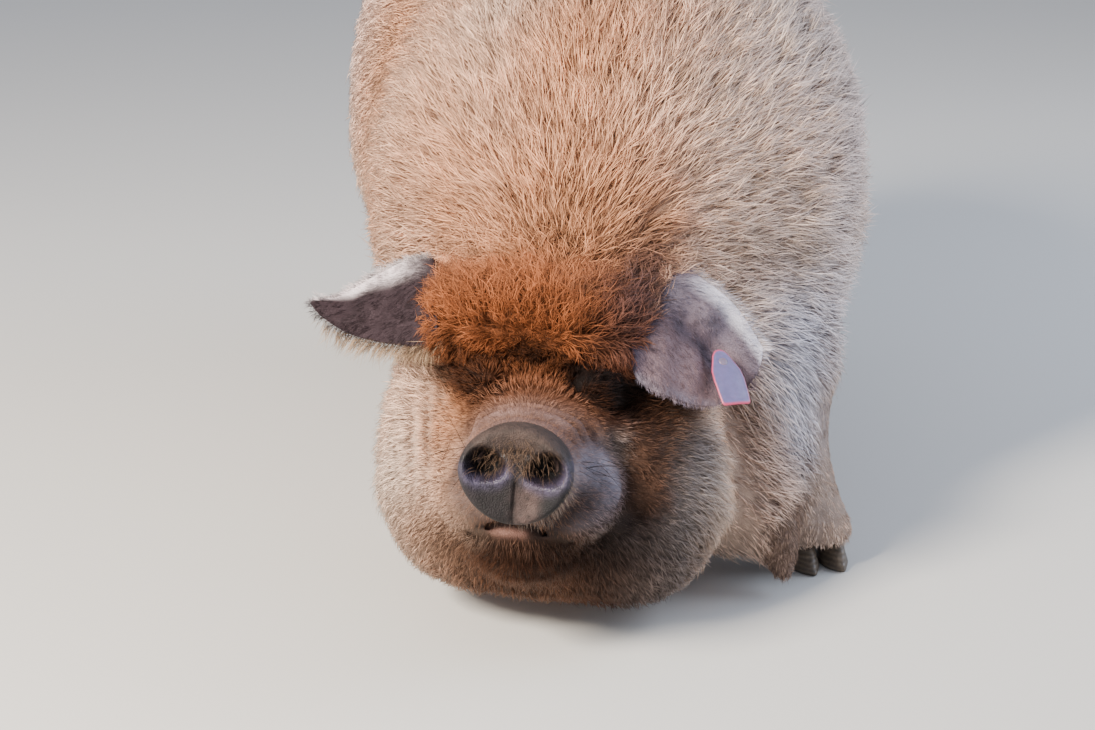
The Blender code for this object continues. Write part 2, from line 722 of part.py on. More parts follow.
def add_let_in_pieces(build, pieces):
    """Eyes, ears, tassels, tail, dewclaws, each in a seat of its own."""
    for side, word in ((1, "left"), (-1, "right")):
        place = in_head(side * EYE_PLACE[0], EYE_PLACE[1] - EYE_RADIUS, EYE_PLACE[2])
        radii = (EYE_RADIUS,) * 3
        mesh = loft("eye_" + word, ball_rings(place, radii, HEAD_TURN))
        build.piece("eye_" + word, mesh, DARK_EYE, 0.1)
        seat = loft("seat", ball_rings(place, radii, HEAD_TURN, GAP))
        let_in(build, pieces, ("head", "muzzle"), seat)
    for word, rings in (("right", right_ear), ("left", left_ear)):
        build.piece("ear_" + word, loft("ear_" + word, rings()), EAR_SKIN)
        let_in(build, pieces, ("head", "neck"), loft("seat", rings(EAR_SEAT)))
    for side, word in ((1, "left"), (-1, "right")):
        rings = tassel_rings(side)
        build.piece("tassel_" + word, loft("tassel_" + word, rings), CREAM)
        seat = loft("seat", tassel_rings(side, GAP))
        names = ("head", "neck", "leg_front_left_lower", "leg_front_right_lower",
                 "leg_front_left_upper", "leg_front_right_upper", "shoulders")
        let_in(build, pieces, names, seat)
    build.piece("tail", loft("tail", tail_rings()), GINGER)
    let_in(build, pieces, ("rump",), loft("seat", tail_rings(2 * GAP)))


def add_feet(build, pieces):
    for name in FEET:
        for claw, word in ((1, "outer"), (-1, "inner")):
            if name.endswith("right"):
                word = {"outer": "inner", "inner": "outer"}[word]
            title = f"hoof_{name}_{word}"
            build.piece(title, loft(title, hoof_rings(name, claw)), DARK_HORN, 0.5)
            title = f"dewclaw_{name}_{word}"
            mesh = loft(title, dewclaw_rings(name, claw))
            build.piece(title, mesh, DARK_HORN, 0.5)
            seat = loft("seat", dewclaw_rings(name, claw, GAP))
            let_in(build, pieces, (f"leg_{name}_lower",), seat)


def add_tag(build):
    """The flag in front of the left ear and the pin that holds it."""
    flag = build.piece("tag_flag", tag_flag_mesh(), TAG_PINK, 0.4)
    build.piece("tag_pin", tag_pin_mesh(), TAG_PINK, 0.4)
    bore = [(-0.025, PIN_RADIUS + GAP), (0.01, PIN_RADIUS + GAP)]
    hole = build.cutter("pin_hole", loft("hole", turned_rings(TAG_POINT, TAG_OUT, bore)))
    ear = bpy.data.objects["ear_left"]
    for obj in (flag, ear):
        cut(obj, hole)
        keep_largest(obj)
    bpy.data.objects.remove(hole)


def set_on_origin(build):
    """Moves the whole pig so that its box stands centred on the origin."""
    bpy.context.view_layer.update()
    corners = []
    for obj in build.pieces.objects:
        if obj.type == "MESH":
            corners += [obj.matrix_world @ v.co for v in obj.data.vertices]
    corners = np.array(corners)
    low, high = corners.min(axis=0), corners.max(axis=0)
    build.root.location = (-(low[0] + high[0]) / 2, -(low[1] + high[1]) / 2, -low[2])
    bpy.context.view_layer.update()


def main():
    clear_scene()
    build = Build()
    body = flesh_object(build)
    pieces = part_flesh(build, body)
    add_snout(build)
    add_let_in_pieces(build, pieces)
    add_feet(build, pieces)
    add_tag(build)
    set_on_origin(build)


if __name__ == "__main__":
    main()
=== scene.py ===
"""A standing kunekune pig, life size: skin, coat of solid tufts, snout, eyes, ears, claws and ear tag.

The skin is the surface of one field of rounded masses that melt into each other, because a
grid of two parameters can't branch into four legs, a tail and a face.  Every other piece is
a surface worked out on a grid of two parameters, and the coat is grown from the skin.
"""

import json
from math import radians

import bpy
import numpy as np
import openvdb
from bpy.props import FloatProperty, FloatVectorProperty, IntProperty, PointerProperty
from mathutils import Euler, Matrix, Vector

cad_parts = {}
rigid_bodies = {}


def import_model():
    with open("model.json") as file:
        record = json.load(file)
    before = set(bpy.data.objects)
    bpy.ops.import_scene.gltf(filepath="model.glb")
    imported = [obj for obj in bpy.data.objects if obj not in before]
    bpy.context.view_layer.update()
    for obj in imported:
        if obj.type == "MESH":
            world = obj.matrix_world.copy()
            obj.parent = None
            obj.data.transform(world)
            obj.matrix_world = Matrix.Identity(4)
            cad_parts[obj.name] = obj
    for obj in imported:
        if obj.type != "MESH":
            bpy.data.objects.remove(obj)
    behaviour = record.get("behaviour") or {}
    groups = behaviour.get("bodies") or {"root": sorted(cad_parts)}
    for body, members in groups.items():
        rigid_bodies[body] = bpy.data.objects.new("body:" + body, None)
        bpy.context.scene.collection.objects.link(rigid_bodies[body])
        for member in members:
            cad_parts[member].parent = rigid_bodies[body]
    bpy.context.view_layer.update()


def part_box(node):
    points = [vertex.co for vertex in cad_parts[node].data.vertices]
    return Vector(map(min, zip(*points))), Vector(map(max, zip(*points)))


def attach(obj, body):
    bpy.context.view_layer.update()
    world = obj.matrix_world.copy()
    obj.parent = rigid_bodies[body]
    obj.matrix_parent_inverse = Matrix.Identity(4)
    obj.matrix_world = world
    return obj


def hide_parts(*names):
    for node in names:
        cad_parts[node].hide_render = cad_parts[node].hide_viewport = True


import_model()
TRIANGLE_LIMIT = 200000  # most triangles that one piece may have
TUFT_LIMIT = 199000  # a piece of coat with more triangles is parted in two

bl_info = {
    "name": "Kunekune Pig",
    "version": (1, 0, 0),
    "blender": (4, 5, 0),
    "location": "View3D > Sidebar > Pig",
    "description": "Builds a life-size kunekune pig with a coat of solid tufts",
    "category": "Add Mesh",
}


# ---------------------------------------------------------------- colours and turns
def linear(text):
    """The linear colour of an sRGB hex value."""
    value = np.array([int(text[i:i + 2], 16) for i in (1, 3, 5)]) / 255
    value = np.where(value <= 0.04045, value / 12.92, ((value + 0.055) / 1.055) ** 2.4)
    return tuple(float(part) for part in value)


def turned(x=0.0, y=0.0, z=0.0):
    """A rotation about X, then Y, then Z, in degrees."""
    return np.array(Euler([radians(a) for a in (x, y, z)]).to_matrix())


def unit(vectors):
    """Vectors scaled to length one."""
    length = np.linalg.norm(vectors, axis=-1, keepdims=True)
    return vectors / np.maximum(length, 1e-9)


def ease(low, high, values):
    """Smooth step: 0 below low, 1 above high, 3t^2 - 2t^3 between."""
    t = np.clip((values - low) / (high - low), 0, 1)
    return t * t * (3 - 2 * t)


def fade(low, high, values):
    """The smooth step turned over: 1 below low, 0 above high."""
    return 1 - ease(low, high, values)


def bump_at(values, centre, width):
    """A bell curve: exp(-((v - centre) / width)^2)."""
    return np.exp(-(((values - centre) / width) ** 2))


# ---------------------------------------------------------------- where the body is
HEAD_TURN = turned(z=180 - 11.8) @ turned(x=8) @ turned(y=-3)
EYE_RADIUS = 0.0115
EYE_LEFT, EYE_FORWARD, EYE_UP = 0.050, 0.0845, 0.062  # middle of the eyeball from the head's
SNOUT_BACK, SNOUT_REACH = 0.166, 0.196
SNOUT_HALF_WIDTH, SNOUT_HALF_HEIGHT, SNOUT_UP = 0.0475, 0.0415, 0.003


# Middle of the crease that runs outwards from each eye, in the head's directions
CREASES = {
    -1: [(-0.030, 0.100, 0.054), (-0.046, 0.092, 0.061), (-0.062, 0.082, 0.063),
         (-0.078, 0.070, 0.064)],
    1: [(0.030, 0.098, 0.074), (0.046, 0.092, 0.066), (0.063, 0.084, 0.056),
        (0.080, 0.080, 0.050), (0.098, 0.074, 0.045)],
}


def box_middle(node):
    """The middle of a CAD node's box."""
    low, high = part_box(node)
    return (np.array(low) + np.array(high)) / 2


# The head's middle follows from the two eyes, and the body stands where the head says
HEAD_CENTRE = (box_middle("eye_left") + box_middle("eye_right")) / 2
HEAD_CENTRE = HEAD_CENTRE - HEAD_TURN @ np.array((0, EYE_FORWARD, EYE_UP))
BODY_SHIFT = HEAD_CENTRE - np.array((-0.096, -0.069, 0.166))


def place(x, y, z):
    """A point of the body, measured from the place between the front feet."""
    return np.array((x, y, z)) + BODY_SHIFT


def in_head(left, forward, up):
    """A point given in the head's own directions."""
    return HEAD_CENTRE + HEAD_TURN @ np.array((-left, forward, up))


def body_directions(points):
    """Left and back of points from the place between the front feet, and their height."""
    body = points - BODY_SHIFT
    return body[:, 0], body[:, 1], points[:, 2]


def head_directions(points):
    """Left, forward and up of points, measured from the middle of the head."""
    local = (points - HEAD_CENTRE) @ HEAD_TURN
    return -local[..., 0], local[..., 1], local[..., 2]


def from_head(left, forward, up):
    """Directions given in the head's own axes, in the world."""
    return np.stack([-left, forward, up], axis=-1) @ HEAD_TURN.T


FEET = {
    "front_left": (place(0.168, 0.000, 0), 14),
    "front_right": (place(-0.152, 0.062, 0), -10),
    "hind_left": (place(0.160, 0.660, 0), 8),
    "hind_right": (place(-0.158, 0.610, 0), -8),
}
ANKLE_HEIGHT = 0.024  # where the skin of a foot ends, before it is drawn in under the coat
TAIL = (place(0.004, 0.775, 0.470), place(0.010, 0.905, 0.475), place(0.030, 0.890, 0.260))
TASSELS = {
    "left": (place(0.108, -0.015, 0.100), place(0.120, -0.062, 0.080), place(0.124, -0.066, 0.012)),
    "right": (place(-0.180, 0.005, 0.110), place(-0.196, 0.030, 0.090), place(-0.192, 0.034, 0.020)),
}


def bent(points, share):
    """A point on the quadratic curve through start, bend and end."""
    start, bend, end = points
    share = np.asarray(share)[..., None]
    return start * (1 - share) ** 2 + bend * 2 * share * (1 - share) + end * share**2


# ---------------------------------------------------------------- sizes that a user would change
class PigSkinSettings(bpy.types.PropertyGroup):
    """Sizes and colours of the skin."""

    face_step: FloatProperty(
        name="Face step", description="Grid step of the skin on the face",
        default=0.00315, min=0.001, max=0.01, unit="LENGTH")
    body_step: FloatProperty(
        name="Body step", description="Grid step of the skin on the trunk",
        default=0.0132, min=0.002, max=0.02, unit="LENGTH")
    wrinkle_depth: FloatProperty(
        name="Wrinkle depth", description="Depth of the folds above the snout",
        default=0.0066, min=0.0, max=0.01, unit="LENGTH")
    muzzle: FloatVectorProperty(
        name="Muzzle", description="Bare grey-brown skin of the muzzle",
        default=linear("#6b5753"), size=3, subtype="COLOR", min=0, max=1)
    snout: FloatVectorProperty(
        name="Snout", description="Skin of the snout disc",
        default=linear("#171214"), size=3, subtype="COLOR", min=0, max=1)
    nostril: FloatVectorProperty(
        name="Nostril rim", description="Moist lavender skin round the nostrils",
        default=linear("#6f6786"), size=3, subtype="COLOR", min=0, max=1)
    lip: FloatVectorProperty(
        name="Lip", description="Pink-tan skin of the lower lip",
        default=linear("#9a7266"), size=3, subtype="COLOR", min=0, max=1)


class PigCoatSettings(bpy.types.PropertyGroup):
    """Amount, size and colours of the coat."""

    strands: IntProperty(
        name="Tufts", description="Tufts over the whole skin, before the ears' own",
        default=208000, min=1000, max=400000)
    length: FloatProperty(
        name="Length", description="Scale of every tuft's length", default=1.0, min=0.2, max=2.0)
    width: FloatProperty(
        name="Width", description="Width of a tuft on the trunk",
        default=0.00125, min=0.0002, max=0.01, unit="LENGTH")
    clump: FloatProperty(
        name="Clump", description="Distance between neighbouring clumps on the trunk",
        default=0.011, min=0.002, max=0.05, unit="LENGTH")
    cream: FloatVectorProperty(
        name="Cream", description="Coat of the back, sides and cheeks",
        default=linear("#f4dac6"), size=3, subtype="COLOR", min=0, max=1)
    sand: FloatVectorProperty(
        name="Sand", description="Warm patches on shoulders and neck",
        default=linear("#de9c70"), size=3, subtype="COLOR", min=0, max=1)
    ginger: FloatVectorProperty(
        name="Ginger", description="Coat of the forehead",
        default=linear("#90522f"), size=3, subtype="COLOR", min=0, max=1)
    brown: FloatVectorProperty(
        name="Brown", description="Coat round the eyes and on the nose",
        default=linear("#7d4a2b"), size=3, subtype="COLOR", min=0, max=1)
    seed: IntProperty(name="Seed", description="Seed of the coat's variation", default=7)


class PigStageSettings(bpy.types.PropertyGroup):
    """The floor, the lights and the camera."""

    key_power: FloatProperty(
        name="Key light", description="Power of the warm soft light on the pig's right",
        default=290.0, min=0.0, unit="POWER")
    fill_power: FloatProperty(
        name="Fill light", description="Power of the cool soft light on the pig's left",
        default=75.0, min=0.0, unit="POWER")
    floor: FloatVectorProperty(
        name="Floor", description="Plain pale floor",
        default=linear("#c9c7c2"), size=3, subtype="COLOR", min=0, max=1)
    lens: FloatProperty(
        name="Lens", description="Focal length of the camera in millimetres",
        default=70.0, min=10.0, max=300.0)


SETTINGS = {
    "pig_skin": PigSkinSettings,
    "pig_coat": PigCoatSettings,
    "pig_stage": PigStageSettings,
}


# ---------------------------------------------------------------- meshes
def mesh_piece(name, points, faces, replaced=()):
    """A mesh object from whole arrays: faces all have the same number of corners."""
    points = np.ascontiguousarray(points, np.float32)
    faces = np.ascontiguousarray(faces, np.int32)
    count, corners = faces.shape
    mesh = bpy.data.meshes.new(name)
    mesh.vertices.add(len(points))
    mesh.vertices.foreach_set("co", points.ravel())
    mesh.loops.add(faces.size)
    mesh.loops.foreach_set("vertex_index", faces.ravel())
    mesh.polygons.add(count)
    mesh.polygons.foreach_set("loop_start", np.arange(count, dtype=np.int32) * corners)
    mesh.polygons.foreach_set("use_smooth", np.ones(count, bool))
    mesh.update(calc_edges=True)
    piece = bpy.data.objects.new(name, mesh)
    bpy.context.scene.collection.objects.link(piece)
    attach(piece, "root")
    if replaced:
        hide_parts(*replaced)
    return piece


def point_colours(piece, name, colours):
    """Stores one linear colour for each point of a piece."""
    values = np.ones((len(colours), 4), np.float32)
    values[:, :3] = colours
    layer = piece.data.attributes.new(name, "FLOAT_COLOR", "POINT")
    layer.data.foreach_set("color", values.ravel())


def point_values(piece, name, values):
    """Stores one number for each point of a piece."""
    layer = piece.data.attributes.new(name, "FLOAT", "POINT")
    layer.data.foreach_set("value", np.asarray(values, np.float32))


def full_turn(around):
    """Angles once round a ring, as one row."""
    return np.linspace(0, 2 * np.pi, around, endpoint=False)[None]


def tube_faces(rings, around):
    """Quads between consecutive rings, each ring closed on itself."""
    start = np.arange(rings - 1)[:, None] * around
    step = np.arange(around)[None, :]
    following = (step + 1) % around
    quads = np.stack(
        [start + step, start + following, start + around + following, start + around + step], axis=-1)
    return quads.reshape(-1, 4)


def closed_tube(rings):
    """Points and triangles of rings (rows, around, 3) closed by a fan to a middle point at each end."""
    rows, around = rings.shape[:2]
    quads = tube_faces(rows, around)
    triangles = np.concatenate([quads[:, [0, 1, 2]], quads[:, [0, 2, 3]]])
    first, last = rows * around, rows * around + 1
    step = np.arange(around)
    following = (step + 1) % around
    base = np.stack([np.full(around, first), following, step], axis=1)
    top = (rows - 1) * around
    crown = np.stack([np.full(around, last), top + step, top + following], axis=1)
    points = np.concatenate([rings.reshape(-1, 3), rings[:1].mean(1), rings[-1:].mean(1)])
    return points, outward(points, np.concatenate([triangles, base, crown]))


def outward(points, faces):
    """Turns all faces of a closed body round if they enclose a negative volume."""
    a, b, c = (points[faces[:, i]] for i in range(3))
    volume = np.einsum("ij,ij->i", a, np.cross(b, c)).sum()
    return faces[:, ::-1] if volume < 0 else faces


def point_normals(points, faces):
    """Unit normals of the points: the sum of the normals of the faces round each."""
    corners = points[faces]
    normal = np.cross(corners[:, 2] - corners[:, 0], corners[:, -1] - corners[:, 1])
    if faces.shape[1] == 3:
        normal = np.cross(corners[:, 1] - corners[:, 0], corners[:, 2] - corners[:, 0])
    total = np.zeros_like(points)
    for axis in range(3):
        for corner in range(faces.shape[1]):
            total[:, axis] += np.bincount(faces[:, corner], normal[:, axis], len(points))
    return unit(total)


def relaxed(points, faces, rounds, amount=0.5):
    """Points moved towards the mean of their neighbours, a few times."""
    following = np.roll(faces, -1, axis=1)
    first = np.concatenate([faces.ravel(), following.ravel()])
    second = np.concatenate([following.ravel(), faces.ravel()])
    near = np.maximum(np.bincount(first, minlength=len(points)), 1)
    for _ in range(rounds):
        mean = [np.bincount(first, points[second, axis], len(points)) / near for axis in range(3)]
        points = points * (1 - amount) + np.stack(mean, axis=1) * amount
    return points


# ---------------------------------------------------------------- materials
def material_called(name):
    """An empty node material and a helper that adds a node with its settings and links."""
    material = bpy.data.materials.new(name)
    material.use_nodes = True
    tree = material.node_tree
    tree.nodes.clear()

    def node(kind, settings=None, **links):
        """Adds a node; an input is given by its name, or by _ and its number."""
        made = tree.nodes.new(kind)
        for key, value in (settings or {}).items():
            setattr(made, key, value)
        for key, value in links.items():
            number = key[1:]
            socket = made.inputs[int(number) if number.isdigit() else key.replace("_", " ")]
            if isinstance(value, bpy.types.NodeSocket):
                tree.links.new(value, socket)
            else:
                socket.default_value = value
        return made

    return material, node


def surfaced(node, **settings):
    """Joins a principled shader with these settings to the material's output."""
    shader = node("ShaderNodeBsdfPrincipled", None, **settings)
    node("ShaderNodeOutputMaterial", Surface=shader.outputs[0])


def stored(node, name, output="Color"):
    """What a piece stores at its points under a name."""
    return node("ShaderNodeAttribute", {"attribute_name": name}).outputs[output]


def own_space(node):
    """Places in the piece's own metres."""
    return node("ShaderNodeTexCoord").outputs["Object"]


def noise(node, where, scale, detail, **more):
    """A cloudy pattern."""
    made = node("ShaderNodeTexNoise", None, Vector=where, Scale=scale, Detail=detail, **more)
    return made.outputs["Fac"]


def ranged(node, value, to_low, to_high, from_low=0.0, from_high=1.0):
    """A value carried from one range to another."""
    made = node("ShaderNodeMapRange", None, Value=value, From_Min=from_low, From_Max=from_high,
                To_Min=to_low, To_Max=to_high)
    return made.outputs["Result"]


def product(node, first, second, kind="ShaderNodeMath"):
    """Two values multiplied."""
    return node(kind, {"operation": "MULTIPLY"}, _0=first, _1=second).outputs[0]


def tinted(node, value):
    """The piece's stored colour multiplied by a value."""
    return product(node, stored(node, "coat_colour"), value, "ShaderNodeVectorMath")


def relief(node, height, strength, distance, settings=None):
    """Bumps that follow a pattern, with their height in metres."""
    made = node("ShaderNodeBump", settings, Height=height, Strength=strength, Distance=distance)
    return made.outputs[0]


# ---------------------------------------------------------------- the flesh field
class FleshField:
    """Signed distance to the flesh on a grid whose steps are finest at the face."""

    def __init__(self, axes):
        """An empty field, everywhere 1 m away from any flesh."""
        self.axes = [np.asarray(axis, np.float32) for axis in axes]
        self.field = np.full([len(axis) for axis in axes], 1.0, np.float32)

    def window(self, low, high, margin):
        """The part of the grid that a mass can change."""
        spans = []
        for axis, a, b in zip(self.axes, low, high):
            spans.append(slice(*np.searchsorted(axis, (a - margin, b + margin))))
        return tuple(spans)

    def merge(self, window, distance, softness, carve):
        """Smooth minimum with a new mass, or smooth removal of it.

        Where the two distances differ by less than the softness s, the lesser one
        falls by (s - |a - b|)^2 / 4s, so that they melt into each other.  Removal is
        the same with the sign of the field turned over.
        """
        sign = -1 if carve else 1
        old = sign * self.field[window]
        apart = np.maximum(softness - np.abs(old - distance), 0) / softness
        self.field[window] = sign * (np.minimum(old, distance) - apart**2 * softness / 4)

    def ball(self, centre, radii, softness, turn=None, carve=False):
        """An ellipsoid: with q = |local / r|, its distance is q (q - 1) / |local / r^2|."""
        turn = np.eye(3) if turn is None else turn
        radii = np.asarray(radii)
        extent = np.sqrt(((turn * radii) ** 2).sum(axis=1))
        window = self.window(centre - extent, centre + extent, 1.5 * softness + 0.02)
        x, y, z = (axis[span] - c for axis, span, c in zip(self.axes, window, centre))
        near, slope = 0, 0
        for k in range(3):
            part = (x * turn[0, k])[:, None, None] + (y * turn[1, k])[None, :, None]
            part = (part + (z * turn[2, k])[None, None, :]).astype(np.float32)
            near = near + (part / radii[k]) ** 2
            slope = slope + (part / radii[k] ** 2) ** 2
        near = np.sqrt(near)
        self.merge(window, near * (near - 1) / (np.sqrt(slope) + 1e-6), softness, carve)

    def rod(self, start, end, first, last, softness, carve=False):
        """A rod with round ends whose radius runs from the first to the last."""
        low = np.minimum(start, end) - max(first, last)
        high = np.maximum(start, end) + max(first, last)
        window = self.window(low, high, 1.5 * softness + 0.02)
        x, y, z = (axis[span] - c for axis, span, c in zip(self.axes, window, start))
        x, y, z = x[:, None, None], y[None, :, None], z[None, None, :]
        along = (end - start).astype(np.float32)
        share = (x * along[0] + y * along[1] + z * along[2]) / (along @ along)
        share = np.clip(share, 0, 1)
        apart = (x - share * along[0]) ** 2 + (y - share * along[1]) ** 2 + (z - share * along[2]) ** 2
        self.merge(window, np.sqrt(apart) - (first + share * (last - first)), softness, carve)

    def head_ball(self, left, forward, up, radii, softness, turn=None, carve=False):
        """An ellipsoid placed and turned in the head's own directions."""
        own = HEAD_TURN if turn is None else HEAD_TURN @ turn
        self.ball(in_head(left, forward, up), radii, softness, own, carve)

    def path(self, points, radii, softness, carve=False):
        """Rods through points, each point with its radius."""
        for start, end, first, last in zip(points, points[1:], radii, radii[1:]):
            self.rod(start, end, first, last, softness, carve)

    def head_path(self, points, radii, softness, carve=False):
        """Rods through points given in the head's own directions."""
        self.path([in_head(*p) for p in points], radii, softness, carve)

    def cut_below(self, centre, half_size, height):
        """Ends the flesh at a height within a square round a point."""
        low, high = centre - half_size, centre + half_size
        window = self.window(low, high, 0)
        window = (window[0], window[1], slice(0, np.searchsorted(self.axes[2], height + half_size)))
        over = height - self.axes[2][window[2]][None, None, :]
        self.field[window] = np.maximum(self.field[window], over)

    def surface(self):
        """Points and outward quads of the surface where the distance is zero."""
        volume = openvdb.FloatGrid(1.0)
        volume.copyFromArray(self.field)
        points, _, quads = volume.convertToPolygons(isovalue=0.0, adaptivity=0.0)
        spread = [np.interp(points[:, k], np.arange(len(a)), a) for k, a in enumerate(self.axes)]
        points = np.stack(spread, axis=1)
        return points, outward(points, quads.astype(np.int64))


def grid_lines(low, high, places, steps, close, closest):
    """Grid lines from low to high whose spacing follows the steps, and is closest near the eyes."""
    lines = [low]
    while lines[-1] < high:
        step = np.interp(lines[-1], places, steps)
        for middle in close:
            step = min(step, closest + 0.25 * max(abs(lines[-1] - middle) - 0.018, 0))
        lines.append(lines[-1] + step)
    return np.array(lines)


def add_trunk(flesh):
    """Barrel, belly, shoulders and hams of a fat pig."""
    flesh.ball(place(0, 0.42, 0.3875), (0.242, 0.385, 0.2625), 0.06)
    flesh.ball(place(0, 0.43, 0.30), (0.268, 0.30, 0.155), 0.06)
    flesh.ball(place(0, 0.20, 0.385), (0.212, 0.215, 0.225), 0.06)
    flesh.ball(place(0, 0.63, 0.40), (0.205, 0.195, 0.195), 0.06)
    flesh.ball(place(-0.050, 0.43, 0.400), (0.222, 0.34, 0.225), 0.06)
    flesh.ball(place(-0.135, 0.16, 0.32), (0.122, 0.14, 0.180), 0.05)
    for side in (-1, 1):
        flesh.ball(place(side * 0.135, 0.14, 0.34), (0.090, 0.12, 0.170), 0.05)
        flesh.ball(place(side * 0.112, 0.66, 0.320), (0.110, 0.14, 0.17), 0.05)
    flesh.ball(place(0.0, 0.145, 0.40), (0.180, 0.150, 0.180), 0.06)
    flesh.rod(place(-0.01, 0.13, 0.37), place(-0.06, 0.03, 0.24), 0.150, 0.125, 0.06)


def limb_stations(name):
    """Points and radii down each leg, from inside the trunk to the foot."""
    foot = FEET[name][0] - BODY_SHIFT
    side = 1 if foot[0] > 0 else -1
    if name.startswith("front"):
        return [
            (place(side * 0.130, 0.13, 0.300), 0.095),
            (place(foot[0] * 0.86, foot[1] + 0.090, 0.190), 0.055),
            (place(foot[0] * 0.83, foot[1] + 0.062, 0.118), 0.037),
            (place(foot[0] * 0.90, foot[1] + 0.026, 0.068), 0.033),
            (place(foot[0], foot[1] + 0.004, 0.034), 0.036),
        ]
    return [
        (place(side * 0.125, 0.64, 0.300), 0.110),
        (place(foot[0] * 0.96, foot[1] - 0.010, 0.215), 0.072),
        (place(foot[0] * 0.94, foot[1] + 0.062, 0.150), 0.042),
        (place(foot[0] * 0.97, foot[1] + 0.032, 0.075), 0.033),
        (place(foot[0], foot[1] + 0.004, 0.034), 0.036),
    ]


def add_limbs(flesh):
    """Legs, the tail and the two throat tassels, as rods between stations."""
    for name in FEET:
        points, radii = zip(*limb_stations(name))
        flesh.path(points, radii, 0.025)
    shares = np.linspace(0, 1, 9)
    radii = np.interp(shares, (0, 0.35, 0.7, 0.9, 1.0), (0.021, 0.016, 0.011, 0.010, 0.007))
    flesh.path(bent(TAIL, shares), radii, 0.008)
    radii = np.interp(shares, (0, 0.3, 0.75, 1.0), (0.009, 0.011, 0.017, 0.012))
    for tassel in TASSELS.values():
        flesh.path(bent(tassel, shares * 0.93), radii, 0.006)


def add_head(flesh):
    """Broad skull between heavy jowls, dished face and short muzzle."""
    flesh.rod(place(0.060, 0.055, 0.225), place(0.086, -0.006, 0.076), 0.070, 0.063, 0.035)
    flesh.ball(place(0.088, 0.055, 0.150), (0.080, 0.090, 0.115), 0.05)
    flesh.head_ball(0, -0.02, 0.01, (0.126, 0.125, 0.118), 0.03)
    for side in (-1, 1):
        flesh.head_ball(side * 0.082, -0.012, 0.020, (0.060, 0.085, 0.068), 0.03)
        flesh.head_ball(side * 0.046 - 0.006, 0.054, 0.094, (0.044, 0.040, 0.024), 0.02)
        flesh.head_ball(side * 0.036, 0.116, -0.036, (0.040, 0.050, 0.033), 0.02)
    flesh.head_ball(-0.068, -0.005, -0.048, (0.082, 0.108, 0.100), 0.03)
    flesh.head_ball(0.078, -0.005, -0.050, (0.090, 0.108, 0.103), 0.03)
    flesh.head_path([(-0.078, 0.085, 0.084), (-0.080, 0.045, 0.106), (-0.090, 0.0, 0.122)],
                    (0.014, 0.018, 0.020), 0.02)
    ear_root = [(0.066, 0.072, 0.078), (0.060, 0.045, 0.098), (0.064, 0.0, 0.120), (0.080, -0.045, 0.134)]
    flesh.head_path(ear_root, (0.018, 0.026, 0.028, 0.028), 0.02)
    flesh.head_ball(-0.010, 0.03, 0.110, (0.078, 0.055, 0.040), 0.04)
    flesh.head_ball(0, 0.020, -0.085, (0.075, 0.085, 0.060), 0.04)
    flesh.head_ball(0, 0.090, -0.002, (0.058, 0.080, 0.048), 0.03)
    flesh.head_ball(0, 0.154, SNOUT_UP, (0.048, 0.036, 0.0425), 0.014)
    flesh.head_ball(0, 0.100, -0.080, (0.044, 0.052, 0.027), 0.02)


# Lines of the face in the head's directions: the grooves beside the muzzle, the mouth and the lower lip
CHEEK_EDGES = [
    [(0.050, 0.106, 0.036), (0.066, 0.098, 0.024), (0.083, 0.092, 0.009), (0.092, 0.094, -0.014),
     (0.088, 0.100, -0.038), (0.070, 0.108, -0.060)],
    [(-0.052, 0.106, 0.030), (-0.062, 0.108, 0.012), (-0.066, 0.116, -0.012), (-0.062, 0.124, -0.034),
     (-0.050, 0.130, -0.054)],
]
CHEEK_EDGE_RADII = np.array((0.0010, 0.0035, 0.0045, 0.0045, 0.0035, 0.0010))
MOUTH = [(0.066, 0.106, -0.074), (0.044, 0.134, -0.061), (0.024, 0.150, -0.051), (0.008, 0.157, -0.047),
         (-0.008, 0.157, -0.047), (-0.024, 0.152, -0.049), (-0.044, 0.138, -0.058), (-0.064, 0.112, -0.072)]
MOUTH_RADII = (0.0001, 0.0006, 0.0026, 0.0040, 0.0040, 0.0026, 0.0006, 0.0001)
LIP = [(0.028, 0.132, -0.067), (0.012, 0.143, -0.061), (-0.012, 0.143, -0.061), (-0.028, 0.132, -0.066)]


def carve_face(flesh):
    """Eye creases, lids, the mouth's line and the lower lip."""
    for side in (-1, 1):
        flesh.head_ball(side * EYE_LEFT, 0.103, EYE_UP, (0.022, 0.016, 0.008), 0.012, carve=True)
        radii = np.linspace(0.0050, 0.0035, len(CREASES[side])) * (1.45 if side > 0 else 1.0)
        flesh.head_path(CREASES[side], radii, 0.008, carve=True)
    for side in (-1, 1):
        flesh.head_ball(side * EYE_LEFT, EYE_FORWARD, EYE_UP, (0.0180, 0.0160, 0.0165), 0.006)
        slit = turned(y=side * 14)
        flesh.head_ball(side * EYE_LEFT, EYE_FORWARD + 0.014, EYE_UP - 0.0010,
                        (0.0120, 0.014, 0.0030), 0.0020, slit, carve=True)
    for edge in CHEEK_EDGES:
        flesh.head_path(edge, CHEEK_EDGE_RADII[:len(edge)], 0.014, carve=True)
    flesh.head_path(MOUTH, MOUTH_RADII, 0.006, carve=True)
    flesh.head_ball(0, 0.205, SNOUT_UP, (0.0430, 0.040, 0.0370), 0.002, carve=True)
    flesh.head_path(LIP, (0.004, 0.008, 0.008, 0.004), 0.012)


def from_eye(points, side):
    """Distance of each point from the middle of an eyeball."""
    return np.linalg.norm(points - in_head(side * EYE_LEFT, EYE_FORWARD, EYE_UP), axis=1)


